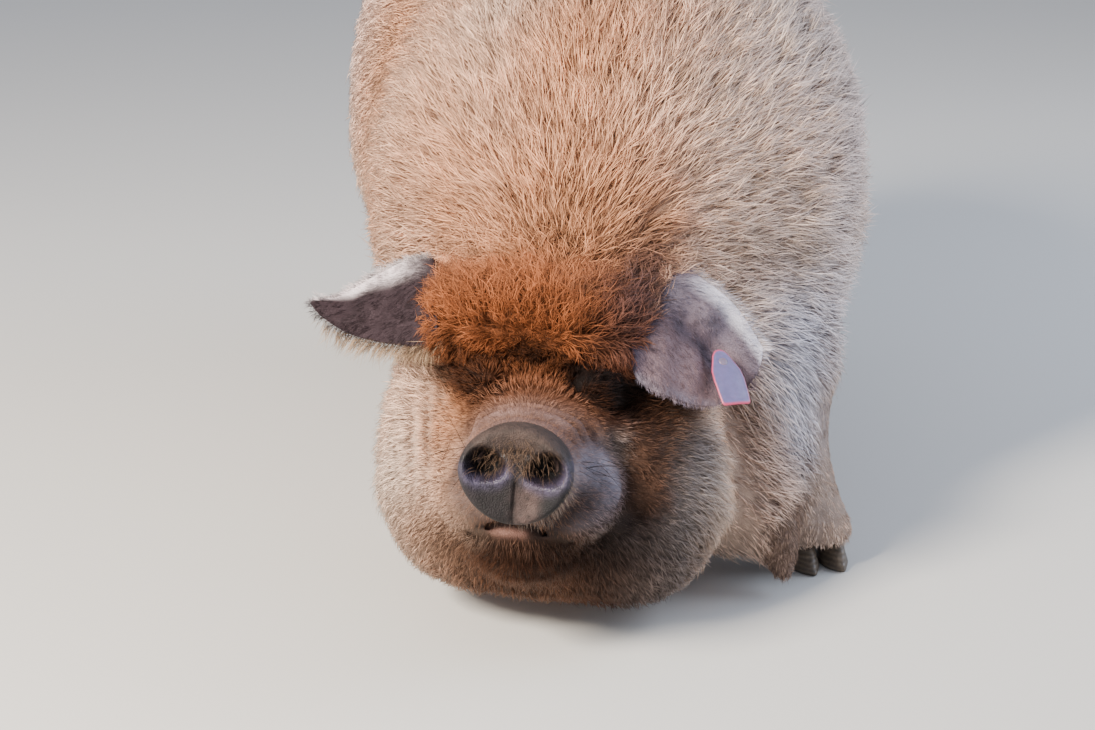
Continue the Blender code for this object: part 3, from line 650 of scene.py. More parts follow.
def coat_depth(points):
    """How far the skin lies under the tips of the coat, region by region."""
    _, forward, up = head_directions(points)
    _, back, _ = body_directions(points)
    depth = np.full(len(points), 0.009)
    on_neck = ease(-0.02, 0.05, back) * fade(0.22, 0.34, back)
    depth += 0.002 * on_neck
    head = head_weight(points)
    fringe = head * ease(0.070, 0.095, up) * ease(-0.03, 0.03, forward)
    face = head * ease(0.055, 0.090, forward) * fade(0.068, 0.085, up)
    small = np.maximum(tail_weight(points), tassel_weight(points))
    regions = ((head, 0.0045), (fringe, 0.006), (face, 0.0025), (muzzle_weight(points), 0.0006),
               (leg_weight(points), 0.0030), (small, 0.0030))
    for weight, own_depth in regions:
        depth = depth * (1 - weight) + own_depth * weight
    for side in (-1, 1):
        depth = depth * ease(0.0175, 0.028, from_eye(points, side)) + 0.0004
    return depth


def from_crease(points, side):
    """Distance of each point from an eye's crease, taken as straight pieces."""
    line = np.array([in_head(*p) for p in CREASES[side]])
    apart = np.full(len(points), 1.0)
    for start, end in zip(line, line[1:]):
        share = np.clip((points - start) @ (end - start) / ((end - start) @ (end - start)), 0, 1)
        apart = np.minimum(apart, np.linalg.norm(points - start - share[:, None] * (end - start), axis=1))
    return apart


def brow_line(left):
    """Height of the forehead's lower edge, higher in the middle."""
    return 0.068 + 0.016 * bump_at(left, -0.006, 0.028)


def head_weight(points):
    """1 on the head, 0 on the neck and trunk."""
    _, forward, up = head_directions(points)
    return ease(-0.075, -0.015, forward + 0.25 * (0.10 - up)) * fade(0.150, 0.185, up)


def muzzle_weight(points):
    """1 on the bare skin round the snout, which reaches further on the left side."""
    left, forward, up = head_directions(points)
    sideways = np.where(left > 0, left / 0.092, left / 0.066)
    near = np.hypot(sideways, (up + 0.004) / np.where(up > 0, 0.055, 0.052))
    return ease(0.086, 0.108, forward) * fade(0.85, 1.15, near)


def leg_weight(points):
    """1 on the legs below the elbow and the stifle."""
    weight = np.zeros(len(points))
    for name in FEET:
        stations = limb_stations(name)[::-1]
        line = np.array([middle for middle, _ in stations])
        radii = [radius for _, radius in stations]
        height = points[:, 2]
        apart = np.hypot(points[:, 0] - np.interp(height, line[:, 2], line[:, 0]),
                         points[:, 1] - np.interp(height, line[:, 2], line[:, 1]))
        near = fade(0.012, 0.030, apart - np.interp(height, line[:, 2], radii))
        weight = np.maximum(weight, near * fade(0.150, 0.200, height))
    return weight


def tail_weight(points):
    """1 on the tail behind the rump."""
    return ease(0.835, 0.850, body_directions(points)[1])


def tassel_weight(points):
    """1 close to either throat tassel."""
    weight = np.zeros(len(points))
    for tassel in TASSELS.values():
        for middle in bent(tassel, np.linspace(0.25, 1, 6)):
            apart = np.linalg.norm(points - middle, axis=1)
            weight = np.maximum(weight, fade(0.019, 0.026, apart))
    return weight


# Grooves over the snout: where each crosses the middle, how it curves, its reach and width
FOLDS = [(0.1480, 8.6, 0.048, 0.0024), (0.1290, 4.6, 0.050, 0.0022), (0.1120, 2.9, 0.068, 0.0028)]
ROLLS = [(0.1385, 6.4, 0.048, 0.0062), (0.1205, 3.8, 0.052, 0.0055), (0.1010, 2.4, 0.070, 0.0075)]


def over_snout(left, up, reach):
    """1 on top of the snout, out to a reach on either side."""
    return ease(0.004, 0.020, up) * fade(0.062, 0.080, up) * fade(reach * 0.7, reach, np.abs(left))


def folded(points, normals, depth):
    """Folds of the face: three arcs over the snout, and slack creases down the cheeks.

    Each fold is a bell-shaped groove along an arc forward = f0 - k left^2, with a
    roll of skin on either side of it.
    """
    left, forward, up = head_directions(points)
    move = np.zeros(len(points))
    for share, arcs in ((-1.0, FOLDS), (1.2, ROLLS)):
        for middle, curve, reach, width in arcs:
            mask = over_snout(left, up, reach)
            move += depth * share * mask * bump_at(forward, middle - curve * left**2, width)
    cheek = bump_at(up, 0.0, 0.055) * ease(0.02, 0.05, forward) * fade(0.095, 0.115, forward)
    for across, share in ((-0.086, 0.45), (-0.100, 0.35), (0.104, 0.3)):
        slope = across + 0.10 * up * np.sign(across)
        move -= depth * share * cheek * bump_at(left, slope, 0.0035)
    return points + normals * move[:, None]


def build_skin_surface(settings):
    """Points and quads of the whole skin, lying under the tips of the coat."""
    fine, coarse = settings.face_step, settings.body_step
    face_low, face_high = in_head(-0.09, 0.17, -0.09), in_head(0.11, 0.05, 0.09)
    west, east = min(face_low[0], face_high[0]) - 0.01, max(face_low[0], face_high[0]) + 0.01
    eyes = np.array([in_head(side * EYE_LEFT, EYE_FORWARD + 0.006, EYE_UP) for side in (-1, 1)])
    close = 0.62 * fine
    across = grid_lines(-0.30, 0.30, (west - 0.02, west, east, east + 0.02),
                        (coarse * 0.68, fine, fine, coarse * 0.62), eyes[:, 0], close)
    front = HEAD_CENTRE[1] - 0.21
    along = grid_lines(front, 0.63, (front, front + 0.17, front + 0.27, front + 0.42),
                       (fine * 0.8, fine, coarse * 0.5, coarse), eyes[:, 1], close)
    height = grid_lines(-0.03, 0.68, (0.02, 0.06, 0.28, 0.34), (coarse * 0.5, fine, fine, coarse),
                        eyes[:, 2], close)
    flesh = FleshField((across, along, height))
    add_trunk(flesh)
    add_limbs(flesh)
    add_head(flesh)
    carve_face(flesh)
    for centre, _ in FEET.values():
        flesh.cut_below(centre, 0.055, ANKLE_HEIGHT)
    points, quads = flesh.surface()
    points = relaxed(points, quads, 2)
    normals = point_normals(points, quads)
    depth = relaxed(np.repeat(coat_depth(points)[:, None], 3, axis=1), quads, 6)[:, 0]
    points = points - normals * depth[:, None]
    points = relaxed(points, quads, 1)
    return folded(points, point_normals(points, quads), settings.wrinkle_depth), quads


# ---------------------------------------------------------------- markings and lie of the coat
def mixed(first, second, share):
    """Colours mixed by a share for each point."""
    share = np.asarray(share)[:, None]
    return first * (1 - share) + np.asarray(second) * share


def even(paint, count):
    """The same colour for each of a number of points."""
    return np.repeat(np.array(paint, float)[None], count, axis=0)


def painter(colour):
    """A function that lays a paint over these colours, with a share for each point."""

    def lay(paint, share):
        """Leaves colour (1 - share) + paint share."""
        colour[:] = mixed(colour, paint, share)

    return lay


def wander(points, scale, seed):
    """A soft pattern from -1 to 1: the mean of six plane waves in scattered directions."""
    scatter = np.random.default_rng(seed)
    total = np.zeros(len(points))
    for _ in range(6):
        direction = unit(scatter.normal(size=3)) * (2 * np.pi / scale) * scatter.uniform(0.6, 1.6)
        total += np.sin(points @ direction + scatter.uniform(0, 6.28))
    return total / 3.4


def markings(points, coat, skin):
    """Colour of the coat at each point, the same for skin and tufts.

    Paints are laid over the cream one after another.  The share of each is a product
    of smooth steps and bell curves of the place, on the body x, y, z and on the head
    left, forward, up, and some are broken up by soft waves.  Some paints stand for light and shade:
    painted highlights where the warm lamp falls, painted cool shade on the far side, and painted
    shadow in folds, creases, hollows and under the jaw.
    """
    left, forward, up = head_directions(points)
    x, y, z = body_directions(points)
    cream, sand = np.array(coat.cream), np.array(coat.sand)
    ginger, brown = np.array(coat.ginger), np.array(coat.brown)
    colour = even(cream, len(points))
    lay = painter(colour)
    lay(sand, 0.22 + 0.22 * wander(points, 0.16, 3))
    shoulder = bump_at(y, 0.20, 0.14) * ease(0.12, 0.22, -x)
    lay(sand, 0.75 * shoulder * ease(0.20, 0.36, z))
    # Painted cool shade: greyish lavender over the front half of the pig's left side, away from the warm
    # lamp
    cool = ease(0.02, 0.17, x) * fade(0.50, 0.80, y)
    lay(linear("#cfc1bf"), 0.55 * cool * (0.8 + 0.3 * wander(points, 0.10, 41)))
    warm = ease(0.10, 0.24, -x) * ease(0.12, 0.30, z)
    lay(sand, 0.35 * warm * (0.6 + 0.4 * wander(points, 0.12, 31)))
    back = ease(0.14, 0.34, y) * ease(0.30, 0.42, z)
    # Painted shade: greyish pink over the top of the back, from the middle to the pig's left, as the cool
    # sky lights it
    painted_sky_shade = back * ease(-0.17, -0.07, x) * fade(0.42, 0.65, y)
    lay(linear("#d6c3c2"), 0.45 * painted_sky_shade)
    # Painted highlight: pinkish white along the top of the pig's right flank, where the warm lamp falls
    pale = back * ease(0.08, 0.19, -x) * ease(0.22, 0.48, y)
    lay(linear("#ffe2d8"), 0.65 * pale)
    legs = leg_weight(points)
    lay(brown * 0.38 + cream * 0.62, 0.60 * legs)
    head = head_weight(points)
    # Painted shade: the lower head on the pig's right, darker towards the ground
    lower = head * fade(-0.080, -0.010, up) * ease(0.02, 0.06, -left)
    lay(sand * 0.42, 0.50 * lower)
    tassel = tassel_weight(points)
    # Painted shadow: dark brown low on the neck by the pig's left tassel, in the gap between tassel, jaw and
    # leg
    inner = fade(0.08, 0.15, z) * ease(0.02, 0.07, x) * fade(0.02, 0.08, y)
    lay(brown * 0.22, 0.50 * inner * (1 - tassel) * (1 - head) * (1 - legs))
    lay(brown * 0.34 + cream * 0.18, 0.80 * tassel)
    # Painted cool light: bluish white over the pig's left shoulder and foreleg
    beside = bump_at(x, 0.135, 0.045) * fade(0.22, 0.32, z) * fade(0.05, 0.14, y)
    lay(linear("#e6e4ef"), 0.85 * beside * (1 - head) * (1 - inner))
    # Painted shadow: a dark band in the fold between the jaw and the neck on the pig's left
    fold = (4 * head * (1 - head)) ** 4 * ease(0.02, 0.07, x) * fade(0.20, 0.27, z)
    lay(brown * 0.45, 0.35 * fold)
    poll = bump_at(left, 0, 0.10) * ease(0.085, 0.140, up) * ease(-0.13, -0.02, forward)
    lay(sand * 0.9, 0.75 * poll)
    crown = ease(0.055, 0.085, up) * fade(0.082, 0.108, np.abs(left + 0.010))
    waved = up + 0.016 * wander(points, 0.04, 27)
    golden = crown * ease(-0.130, -0.030, forward) * fade(0.175, 0.285, waved)
    lay(sand * 0.92, 0.68 * golden)
    ragged = up + 0.010 * wander(points, 0.03, 21)
    lay(ginger, crown * ease(-0.060, 0.045, forward) * fade(0.105, 0.215, ragged))
    face = head * ease(0.040, 0.075, forward) * fade(0.075, 0.100, up) * ease(-0.005, 0.035, up)
    face = face * fade(0.062, 0.092, -left) * fade(0.085, 0.120, left)
    lay(ginger * 0.66 + brown * 0.16, 0.96 * face)
    warm = head * ease(0.02, 0.06, forward) * bump_at(left, -0.074, 0.030) * bump_at(up, 0.012, 0.050)
    lay(sand * 0.75 + ginger * 0.15, 0.85 * warm)
    low = crown * ease(0.03, 0.07, forward) * fade(0.070, 0.120, ragged)
    lay(ginger * 0.32 + brown * 0.22, 0.82 * low)
    lobe = crown * ease(0.005, 0.050, left) * ease(0.03, 0.07, forward)
    lay(ginger * 0.40 + brown * 0.15, 0.60 * lobe)
    # Painted shadow under the fringe: darkest in the middle, where its edge rises, and along its lower edge
    painted_notch_shadow = bump_at(left, -0.006, 0.020) * bump_at(up, 0.083, 0.012) * ease(0.05, 0.08, forward)
    lay(brown * 0.10, 0.95 * painted_notch_shadow)
    painted_brow_shadow = crown * bump_at(up, 0.070, 0.012) * ease(0.05, 0.08, forward)
    lay(brown * 0.15, 0.90 * painted_brow_shadow)
    strip = bump_at(up + 0.75 * (left - 0.085), 0.056, 0.014) * bump_at(left, 0.092, 0.024)
    lay(ginger * 0.75 + sand * 0.08, 0.85 * strip * ease(0.01, 0.04, forward))
    for side in (-1, 1):
        # Dark brown round each eye: partly dark hair, partly painted shade in the hollow
        eye = in_head(side * (EYE_LEFT + 0.014), 0.085, EYE_UP - 0.004)
        apart = np.linalg.norm((points - eye) @ HEAD_TURN / np.array((0.040, 0.04, 0.020)), axis=1)
        lay(ginger * 0.16, 0.92 * fade(0.55, 1.2, apart))
        # Near black along each eye's crease: painted shadow
        reach = (0.012, 0.024) if side > 0 else (0.003, 0.010)
        lay(brown * 0.015, 0.98 * fade(*reach, from_crease(points, side)))
    # Painted shade: grey over the upper cheek on the pig's left
    painted_cheek_shade = head * ease(0.030, 0.070, left) * fade(0.125, 0.165, left) * ease(-0.01, 0.05, forward)
    painted_cheek_shade = painted_cheek_shade * fade(0.015, 0.042, up)
    lay(linear("#7a7576"), 0.85 * painted_cheek_shade)
    # Dark brown over the pig's left cheek: partly brown hair, partly painted shade
    cheek_brown_and_shade = head * ease(0.060, 0.085, left) * fade(0.105, 0.135, left) * ease(0.01, 0.05, forward)
    cheek_brown_and_shade = cheek_brown_and_shade * ease(-0.080, -0.030, up + 0.012 * wander(points, 0.05, 23))
    cheek_brown_and_shade = cheek_brown_and_shade * fade(0.040, 0.065, up)
    lay(brown * 0.30 + cream * 0.02, 0.94 * cheek_brown_and_shade)
    # Under the chin and the snout: partly dark hair, partly painted shade under the jaw
    chin = head * ease(0.00, 0.06, forward) * fade(-0.085, -0.048, up) * bump_at(left, 0.015, 0.085)
    lay(brown * 0.42 + sand * 0.02, np.clip(1.4 * chin, 0, 0.95))
    beard = bump_at(up, -0.068, 0.024) * bump_at(left, 0.022, 0.062) * ease(0.07, 0.10, forward)
    lay(brown * 0.19, np.clip(1.6 * beard, 0, 0.95))
    # Painted shade: dark grey low on the pig's left cheek
    below = head * ease(0.03, 0.07, left) * fade(-0.070, -0.015, up) * ease(0.0, 0.04, forward)
    lay(linear("#3f3a38"), 0.45 * below)
    shadow = bump_at(left, 0.066, 0.024) * bump_at(up, 0.135, 0.045) * ease(-0.10, -0.03, forward)
    lay(linear("#4a3b3c"), 0.85 * shadow)
    muzzle = muzzle_weight(points)
    lay(np.array(skin.muzzle), 0.92 * muzzle)
    # Painted light and shade over the snout: lighter along the rolls of skin, dark brown in the grooves
    # between them
    for paint, share, arcs in ((linear("#8d7572"), 0.28, ROLLS[:2]), (brown * 0.20, 0.72, FOLDS)):
        for middle, curve, reach, width in arcs:
            line = over_snout(left, up, reach)
            lay(paint, share * line * bump_at(forward, middle - curve * left**2, width))
    # Dark under the disc: partly dark skin, partly painted shade
    lay(brown * 0.16, 0.9 * muzzle * fade(-0.052, -0.036, up))
    halo = bump_at(np.hypot(left / SNOUT_HALF_WIDTH, (up - SNOUT_UP) / SNOUT_HALF_HEIGHT), 1.20, 0.36)
    near = halo * fade(-0.030, -0.005, left) * fade(-0.015, 0.015, up) * ease(0.125, 0.145, forward)
    lay(linear("#574740"), 0.75 * near)
    # Near black round the lower part of the disc on the pig's left: partly dark skin, partly painted shade
    halo = halo * ease(0.0, 0.03, left) * fade(-0.025, 0.010, up) * ease(0.125, 0.145, forward)
    lay(linear("#141216"), 0.88 * halo)
    dusky = muzzle * ease(0.030, 0.055, left) * fade(0.0, 0.03, up) * ease(-0.056, -0.036, up) * (1 - halo)
    lay(linear("#9594a4"), 0.75 * dusky)
    return colour


def lie_of_coat(points, normals):
    """The direction in which the hair lies, in the plane of the skin.

    On the trunk it runs back and down, and fans outwards from the poll; on the
    forehead it falls forward over the brow; on the face it leads away from the
    snout; on limbs, tail and tassels it runs down.
    """
    left, forward, up = head_directions(points)
    body = points - BODY_SHIFT
    sway = wander(points, 0.13, 11)
    trunk = unit(points - in_head(-0.010, 0.030, 0.115)) * np.array((1.0, 1.0, 0.9))
    trunk[:, 0] += 0.12 * sway
    trunk[:, 1] += 0.55
    sideways = np.abs(body[:, 0]) / 0.25
    trunk[:, 2] += 0.15 * wander(points, 0.2, 12) - 0.9 * sideways * ease(0.0, 0.2, body[:, 1])
    away = unit(np.stack([left * 9, -0.8 + 0 * left, up * 9 - 0.25], axis=1))
    head_lie = from_head(*away.T)
    drop = -0.50 + 0.60 * bump_at(left, -0.006, 0.030)
    falling = from_head(left * 7 + 0.25 * sway, 0.7 + 0 * left, drop)
    head = (head_weight(points) * fade(0.130, 0.160, up))[:, None]
    crown = (ease(0.066, 0.086, up) * fade(0.090, 0.112, up) * ease(-0.035, 0.02, forward))[:, None]
    down = np.stack([0.3 * body[:, 0], 0.15 + 0 * left, -1 + 0 * left], axis=1)
    low = np.maximum(leg_weight(points), np.maximum(tail_weight(points), tassel_weight(points)))[:, None]
    lie = trunk * (1 - head) + head_lie * head
    lie = lie * (1 - crown * head) + falling * crown * head
    neck_fold = (bump_at(body[:, 0], 0.10, 0.07) * ease(-0.09, -0.04, body[:, 1])
                 * fade(0.18, 0.26, points[:, 2]))[:, None] * (1 - head)
    lie = lie * (1 - neck_fold) + np.array((0.35, 0.1, -1.0)) * neck_fold
    lie = lie * (1 - low) + down * low
    lie = lie - normals * (lie * normals).sum(axis=1, keepdims=True)
    return unit(lie + 1e-5)


def coat_growth(points):
    """Length, width, lift, density and clump size of the tufts at each point.

    Returned as shares: length in metres; width as a share of the trunk's; lift in
    degrees at the root; density in tufts per square metre; clump in metres.
    """
    left, forward, up = head_directions(points)
    _, y, z = body_directions(points)
    count = len(points)
    length, width = np.full(count, 0.040), np.full(count, 0.88)
    lift, density, clump = np.full(count, 14.0), np.full(count, 92e3), np.full(count, 1.0)

    def put(weight, new_length, new_width, new_lift, new_density, new_clump):
        """Moves all five values towards new ones by the weight."""
        for values, new in ((length, new_length), (width, new_width), (lift, new_lift),
                            (density, new_density), (clump, new_clump)):
            values += weight * (new - values)

    put(ease(0.20, 0.45, y), 0.038, 0.98, 12, 66e3, 1.1)
    put(fade(0.14, 0.22, z), 0.031, 1.30, 20, 58e3, 1.2)
    put(fade(0.06, 0.20, y) * ease(0.2, 0.3, z), 0.046, 0.72, 15, 178e3, 0.9)
    head = head_weight(points)
    put(head, 0.038, 0.62, 16, 215e3, 0.8)
    put(head * ease(0.055, 0.085, forward), 0.015, 0.46, 27, 330e3, 0.6)
    bridge = head * ease(0.045, 0.075, forward) * ease(0.020, 0.042, up) * fade(0.055, 0.085, np.abs(left))
    put(bridge, 0.019, 0.50, 42, 430e3, 0.7)
    line = brow_line(left)
    crown = head * ease(line, line + 0.020, up) * ease(-0.045, 0.02, forward)
    put(crown, 0.028, 0.60, 54, 400e3, 1.0)
    put(crown * ease(0.100, 0.140, up), 0.040, 0.60, 26, 300e3, 0.9)
    edge = head * ease(0.058, 0.070, up) * fade(line + 0.012, line + 0.032, up) * ease(0.03, 0.06, forward)
    put(edge, 0.013, 0.54, 60, 400e3, 1.0)
    under = head * fade(-0.075, -0.045, up)
    put(under, 0.022, 0.7, 18, 140e3, 0.8)
    beard = ease(0.085, 0.110, forward) * fade(-0.066, -0.056, up) * ease(-0.115, -0.100, up)
    put(head * beard, 0.017, 0.38, 46, 330e3, 0.6)
    put(muzzle_weight(points), 0.0090, 0.17, 34, 230e3, 0.5)
    put(leg_weight(points), 0.010, 0.58, 13, 220e3, 0.6)
    put(tassel_weight(points), 0.008, 0.52, 30, 320e3, 0.5)
    put(tail_weight(points), 0.018, 0.9, 9, 300e3, 0.9)
    put(tail_weight(points) * fade(0.30, 0.36, z), 0.036, 0.9, 7, 300e3, 0.9)
    return length, width, lift, density, clump


# ---------------------------------------------------------------- tufts
FLATNESS = 0.6  # thickness of a tuft as a share of its width
ROOT_DEPTH = 0.0015  # deepest that a tuft starts under the skin
FLOOR_GAP = 0.0015  # no tuft reaches lower than this
PATCH_HALF = 0.0014  # half size of a tuft's patch on the unwrap


def surface_scatter(points, faces, density, count, seed):
    """Places spread over a surface in proportion to the density at its points.

    Faces are cut into triangles, and a triangle is met as often as its area times
    its density says.  Returns the numbers of the three face corners round each
    place, and the weights of those corners.
    """
    loops = np.arange(faces.size).reshape(faces.shape)
    if faces.shape[1] == 4:
        loops = np.concatenate([loops[:, [0, 1, 2]], loops[:, [0, 2, 3]]])
    triangles = faces.ravel()[loops]
    corners = points[triangles]
    area = np.linalg.norm(np.cross(corners[:, 1] - corners[:, 0], corners[:, 2] - corners[:, 0]), axis=1)
    total = np.cumsum(area * density[triangles].mean(axis=1))
    scatter = np.random.default_rng(seed)
    at = (np.arange(count) + scatter.uniform(size=count)) / count * total[-1]
    chosen = np.minimum(np.searchsorted(total, at), len(triangles) - 1)
    a, b = np.sqrt(scatter.uniform(size=count)), scatter.uniform(size=count)
    weights = np.stack([1 - a, a * (1 - b), a * b], axis=1)
    return loops[chosen], weights


def clumped(points, size, seed):
    """The middle and the number of the clump that each place belongs to.

    Space is warped by soft waves and cut into cells, one clump to a cell.
    """
    warp = np.stack([wander(points, 0.05, seed + k) for k in range(3)], axis=1) * 0.008
    cells = np.floor((points + warp) / size[:, None]).astype(np.int64)
    sizes = np.round(size * 2e4).astype(np.int64)
    key = ((cells[:, 0] * 4001 + cells[:, 1]) * 4001 + cells[:, 2]) * 997 + sizes
    _, number = np.unique(key, return_inverse=True)
    many = np.bincount(number)
    middle = np.stack([np.bincount(number, points[:, k]) / many for k in range(3)], axis=1)
    return middle[number], number


def tuft_mesh(name, spine, widths, side, colours, patch):
    """Closed thin tufts, each with a root point, rings of three points and a tip.

    spine is (tufts, rings + 2, 3), widths (tufts, rings), side (tufts, 3) the broad
    direction, colours (tufts, rings + 2, 3), patch (tufts, 2) the tuft's own place
    on the unwrapped skin.
    """
    tufts, stations = spine.shape[:2]
    rings = stations - 2
    heading = unit(spine[:, 2:] - spine[:, :-2])
    broad = unit(side[:, None] - heading * (side[:, None] * heading).sum(-1, keepdims=True))
    thick = np.cross(heading, broad)
    angles = np.array((0, 2, 4)) * np.pi / 3
    around = (broad[:, :, None] * np.cos(angles)[:, None]
              + thick[:, :, None] * (np.sin(angles) * FLATNESS)[:, None])
    around = spine[:, 1:-1, None] + around * (widths / 2)[:, :, None, None]
    each = 3 * rings + 2
    points = np.concatenate([spine[:, :1], around.reshape(tufts, -1, 3), spine[:, -1:]], axis=1)
    step, following = np.arange(3), (np.arange(3) + 1) % 3
    pattern = [np.stack([0 * step, 1 + following, 1 + step], axis=1)]
    for ring in range(rings - 1):
        low, high = 1 + 3 * ring, 4 + 3 * ring
        pattern.append(np.stack([low + step, low + following, high + following], axis=1))
        pattern.append(np.stack([low + step, high + following, high + step], axis=1))
    top = 1 + 3 * (rings - 1)
    pattern.append(np.stack([np.full(3, each - 1), top + step, top + following], axis=1))
    pattern = np.concatenate(pattern)
    faces = (np.arange(tufts)[:, None, None] * each + pattern[None]).reshape(-1, 3)
    if len(faces) > TUFT_LIMIT:
        half = tufts // 2
        for letter, part in (("a", slice(None, half)), ("b", slice(half, None))):
            arrays = (values[part] for values in (spine, widths, side, colours, patch))
            tuft_mesh(f"{name}_{letter}", *arrays)
        return
    piece = mesh_piece(name, points.reshape(-1, 3), faces)
    shade = np.concatenate([colours[:, :1], np.repeat(colours[:, 1:-1], 3, axis=1), colours[:, -1:]], axis=1)
    point_colours(piece, "coat_colour", shade.reshape(-1, 3))
    offset = np.zeros((each, 2))
    for ring in range(rings):
        offset[1 + 3 * ring:4 + 3 * ring, 0] = np.cos(angles) * PATCH_HALF
        offset[1 + 3 * ring:4 + 3 * ring, 1] = PATCH_HALF * (2 * (ring + 1) / (rings + 1) - 1)
    offset[0, 1], offset[-1, 1] = -0.0015, 0.0015
    spread = (patch[:, None] + offset[None]).reshape(-1, 2)
    layer = piece.data.uv_layers.new(name="OFBake")
    layer.data.foreach_set("uv", spread[faces.ravel()].astype(np.float32).ravel())
    painted(piece, finish_of("pig hair, coarse and dry", hair_material))


def tuft_spines(roots, normals, lie, length, lift, rings, middle, pull, sag, curl, scatter):
    """Spines of bent tufts: they leave the skin at the lift and bend over to lie along it.

    At share s of its length a tuft heads along lie cos(a) + normal sin(a) with
    a = lift (1 - 0.9 s), and it is drawn towards the middle of its clump by pull s^1.5.
    """
    shares = np.linspace(0, 1, rings + 2) ** 0.9
    spine = [roots - normals * np.minimum(ROOT_DEPTH, 0.08 * length)[:, None]]
    across = np.cross(normals, lie)
    hang = np.array((0, 0, -1.0)) + normals * np.maximum(normals[:, 2:], -0.4)
    swing = scatter.normal(size=len(roots)) * curl
    for low, high in zip(shares, shares[1:]):
        s = (low + high) / 2
        angle = lift * (1 - 0.9 * s)
        sideways = swing * (s - 0.35)
        heading = lie * np.cos(angle)[:, None] + normals * np.sin(angle)[:, None]
        heading = heading + across * sideways[:, None] + hang * (sag * s)
        spine.append(spine[-1] + unit(heading) * (length * (high - low))[:, None])
    spine = np.stack(spine, axis=1)
    apart = roots - middle
    apart = apart - normals * (apart * normals).sum(axis=1, keepdims=True)
    spine = spine - apart[:, None] * (pull[:, None] * shares[None] ** 1.5)[:, :, None]
    spine[..., 2] = np.maximum(spine[..., 2], FLOOR_GAP)
    return spine


def grow_coat(name, roots, normals, lie, growth, colours, patch, coat, seed, rings, sag, curl):
    """One piece of coat: clumped, varied tufts from the given roots."""
    scatter = np.random.default_rng(seed)
    length, width, lift, _, clump = growth
    middle, number = clumped(roots, clump * coat.clump, seed)
    clumps = number.max() + 1
    wild = 2.2 if rings == 2 else 1.0
    own_turn = (scatter.normal(size=clumps) * 0.22 * wild)[number] + scatter.normal(size=len(roots)) * 0.16
    across = np.cross(normals, lie)
    lie = unit(lie + across * own_turn[:, None])
    own_lift = (scatter.normal(size=clumps) * 0.28)[number] + scatter.normal(size=len(roots)) * 0.30
    lift = np.radians(lift) * np.clip(1 + own_lift, 0.15, 2.2)
    own_length = scatter.uniform(0.82, 1.14, clumps)[number] * scatter.uniform(0.72, 1.15, len(roots))
    length = length * own_length * coat.length
    pull = scatter.uniform(0.30, 0.85, clumps)[number]
    spine = tuft_spines(roots, normals, lie, length, lift, rings, middle, pull, sag, curl, scatter)
    taper = np.array((1.0,) if rings == 1 else (1.0, 0.72))
    widths = (width * coat.width * scatter.uniform(0.7, 1.25, len(roots)))[:, None] * taper
    tint = scatter.normal(size=clumps)[number] * 0.15 * wild + scatter.normal(size=len(roots)) * 0.26
    # Each tuft darker at its root: painted shade deep in the coat
    shade = np.interp(np.arange(rings + 2) / (rings + 1), (0, 0.5, 1),
                      (0.26 if rings == 2 else 0.46, 0.86, 1.16))
    tone = np.clip(1 + tint, 0.35, 1.7)[:, None] * shade[None]
    tuft_mesh(name, spine, widths, across, colours[:, None] * tone[:, :, None], patch)


# ---------------------------------------------------------------- finishes
def hair_material():
    """Coarse kunekune hair: dry keratin, semi-matt, with a soft sheen along each tuft."""
    material, node = material_called("pig hair, coarse and dry")
    # Single hairs about 0.3 mm apart inside a tuft, drawn at 0.9 mm so that they show
    grain = noise(node, own_space(node), 1100.0, 2.0)
    shade = tinted(node, ranged(node, grain, 0.82, 1.16, 0.3, 0.7))
    surfaced(node, Base_Color=shade, Roughness=0.56, IOR=1.55, Specular_IOR_Level=0.12)
    return material


def skin_material():
    """Pig skin: thick, dry and finely creased; bare and grey on the muzzle, darker under the coat as painted
    shade.
    """
    material, node = material_called("pig skin, creased")
    where = own_space(node)
    # Skin cells between creases are about 2 mm across, and blotches about 17 mm
    cells = node("ShaderNodeTexVoronoi", {"feature": "DISTANCE_TO_EDGE"}, Vector=where, Scale=520.0)
    crease = ranged(node, cells.outputs["Distance"], 0.0, 1.0, 0.0, 0.18)
    tone = ranged(node, noise(node, where, 60.0, 5.0, Roughness=0.6), 0.72, 1.22, 0.3, 0.7)
    # Half as bright under the coat: painted shade for the shadow between the tufts
    under = ranged(node, stored(node, "bare", "Fac"), 0.50, 1.0)
    shade = product(node, product(node, tone, under), ranged(node, crease, 0.78, 1.0))
    height = node("ShaderNodeMath", {"operation": "MULTIPLY_ADD"}, _0=noise(node, where, 900.0, 3.0),
                  _1=0.35, _2=crease)
    surfaced(node, Base_Color=tinted(node, shade), Roughness=0.66, IOR=1.42, Specular_IOR_Level=0.15,
             Normal=relief(node, height.outputs[0], 0.55, 0.0008))
    return material


def snout_material():
    """Snout skin: tough, moist round the nostrils, with dust above and a fine pebble grain."""
    material, node = material_called("pig snout, moist and pebbled")
    where = own_space(node)
    # Pebbles of the snout are about 1.2 mm across
    pebble = node("ShaderNodeTexVoronoi", {"feature": "SMOOTH_F1"}, Vector=where, Scale=820.0,
                  Smoothness=0.6).outputs["Distance"]
    tone = ranged(node, noise(node, where, 140.0, 6.0, Roughness=0.65), 0.42, 1.58, 0.3, 0.72)
    pits = ranged(node, pebble, 1.08, 0.72, 0.0, 0.7)
    surfaced(node, Base_Color=tinted(node, product(node, tone, pits)),
             Roughness=ranged(node, stored(node, "wet", "Fac"), 0.74, 0.34), IOR=1.42,
             Specular_IOR_Level=0.45, Normal=relief(node, pebble, 0.8, 0.0009, {"invert": True}))
    return material


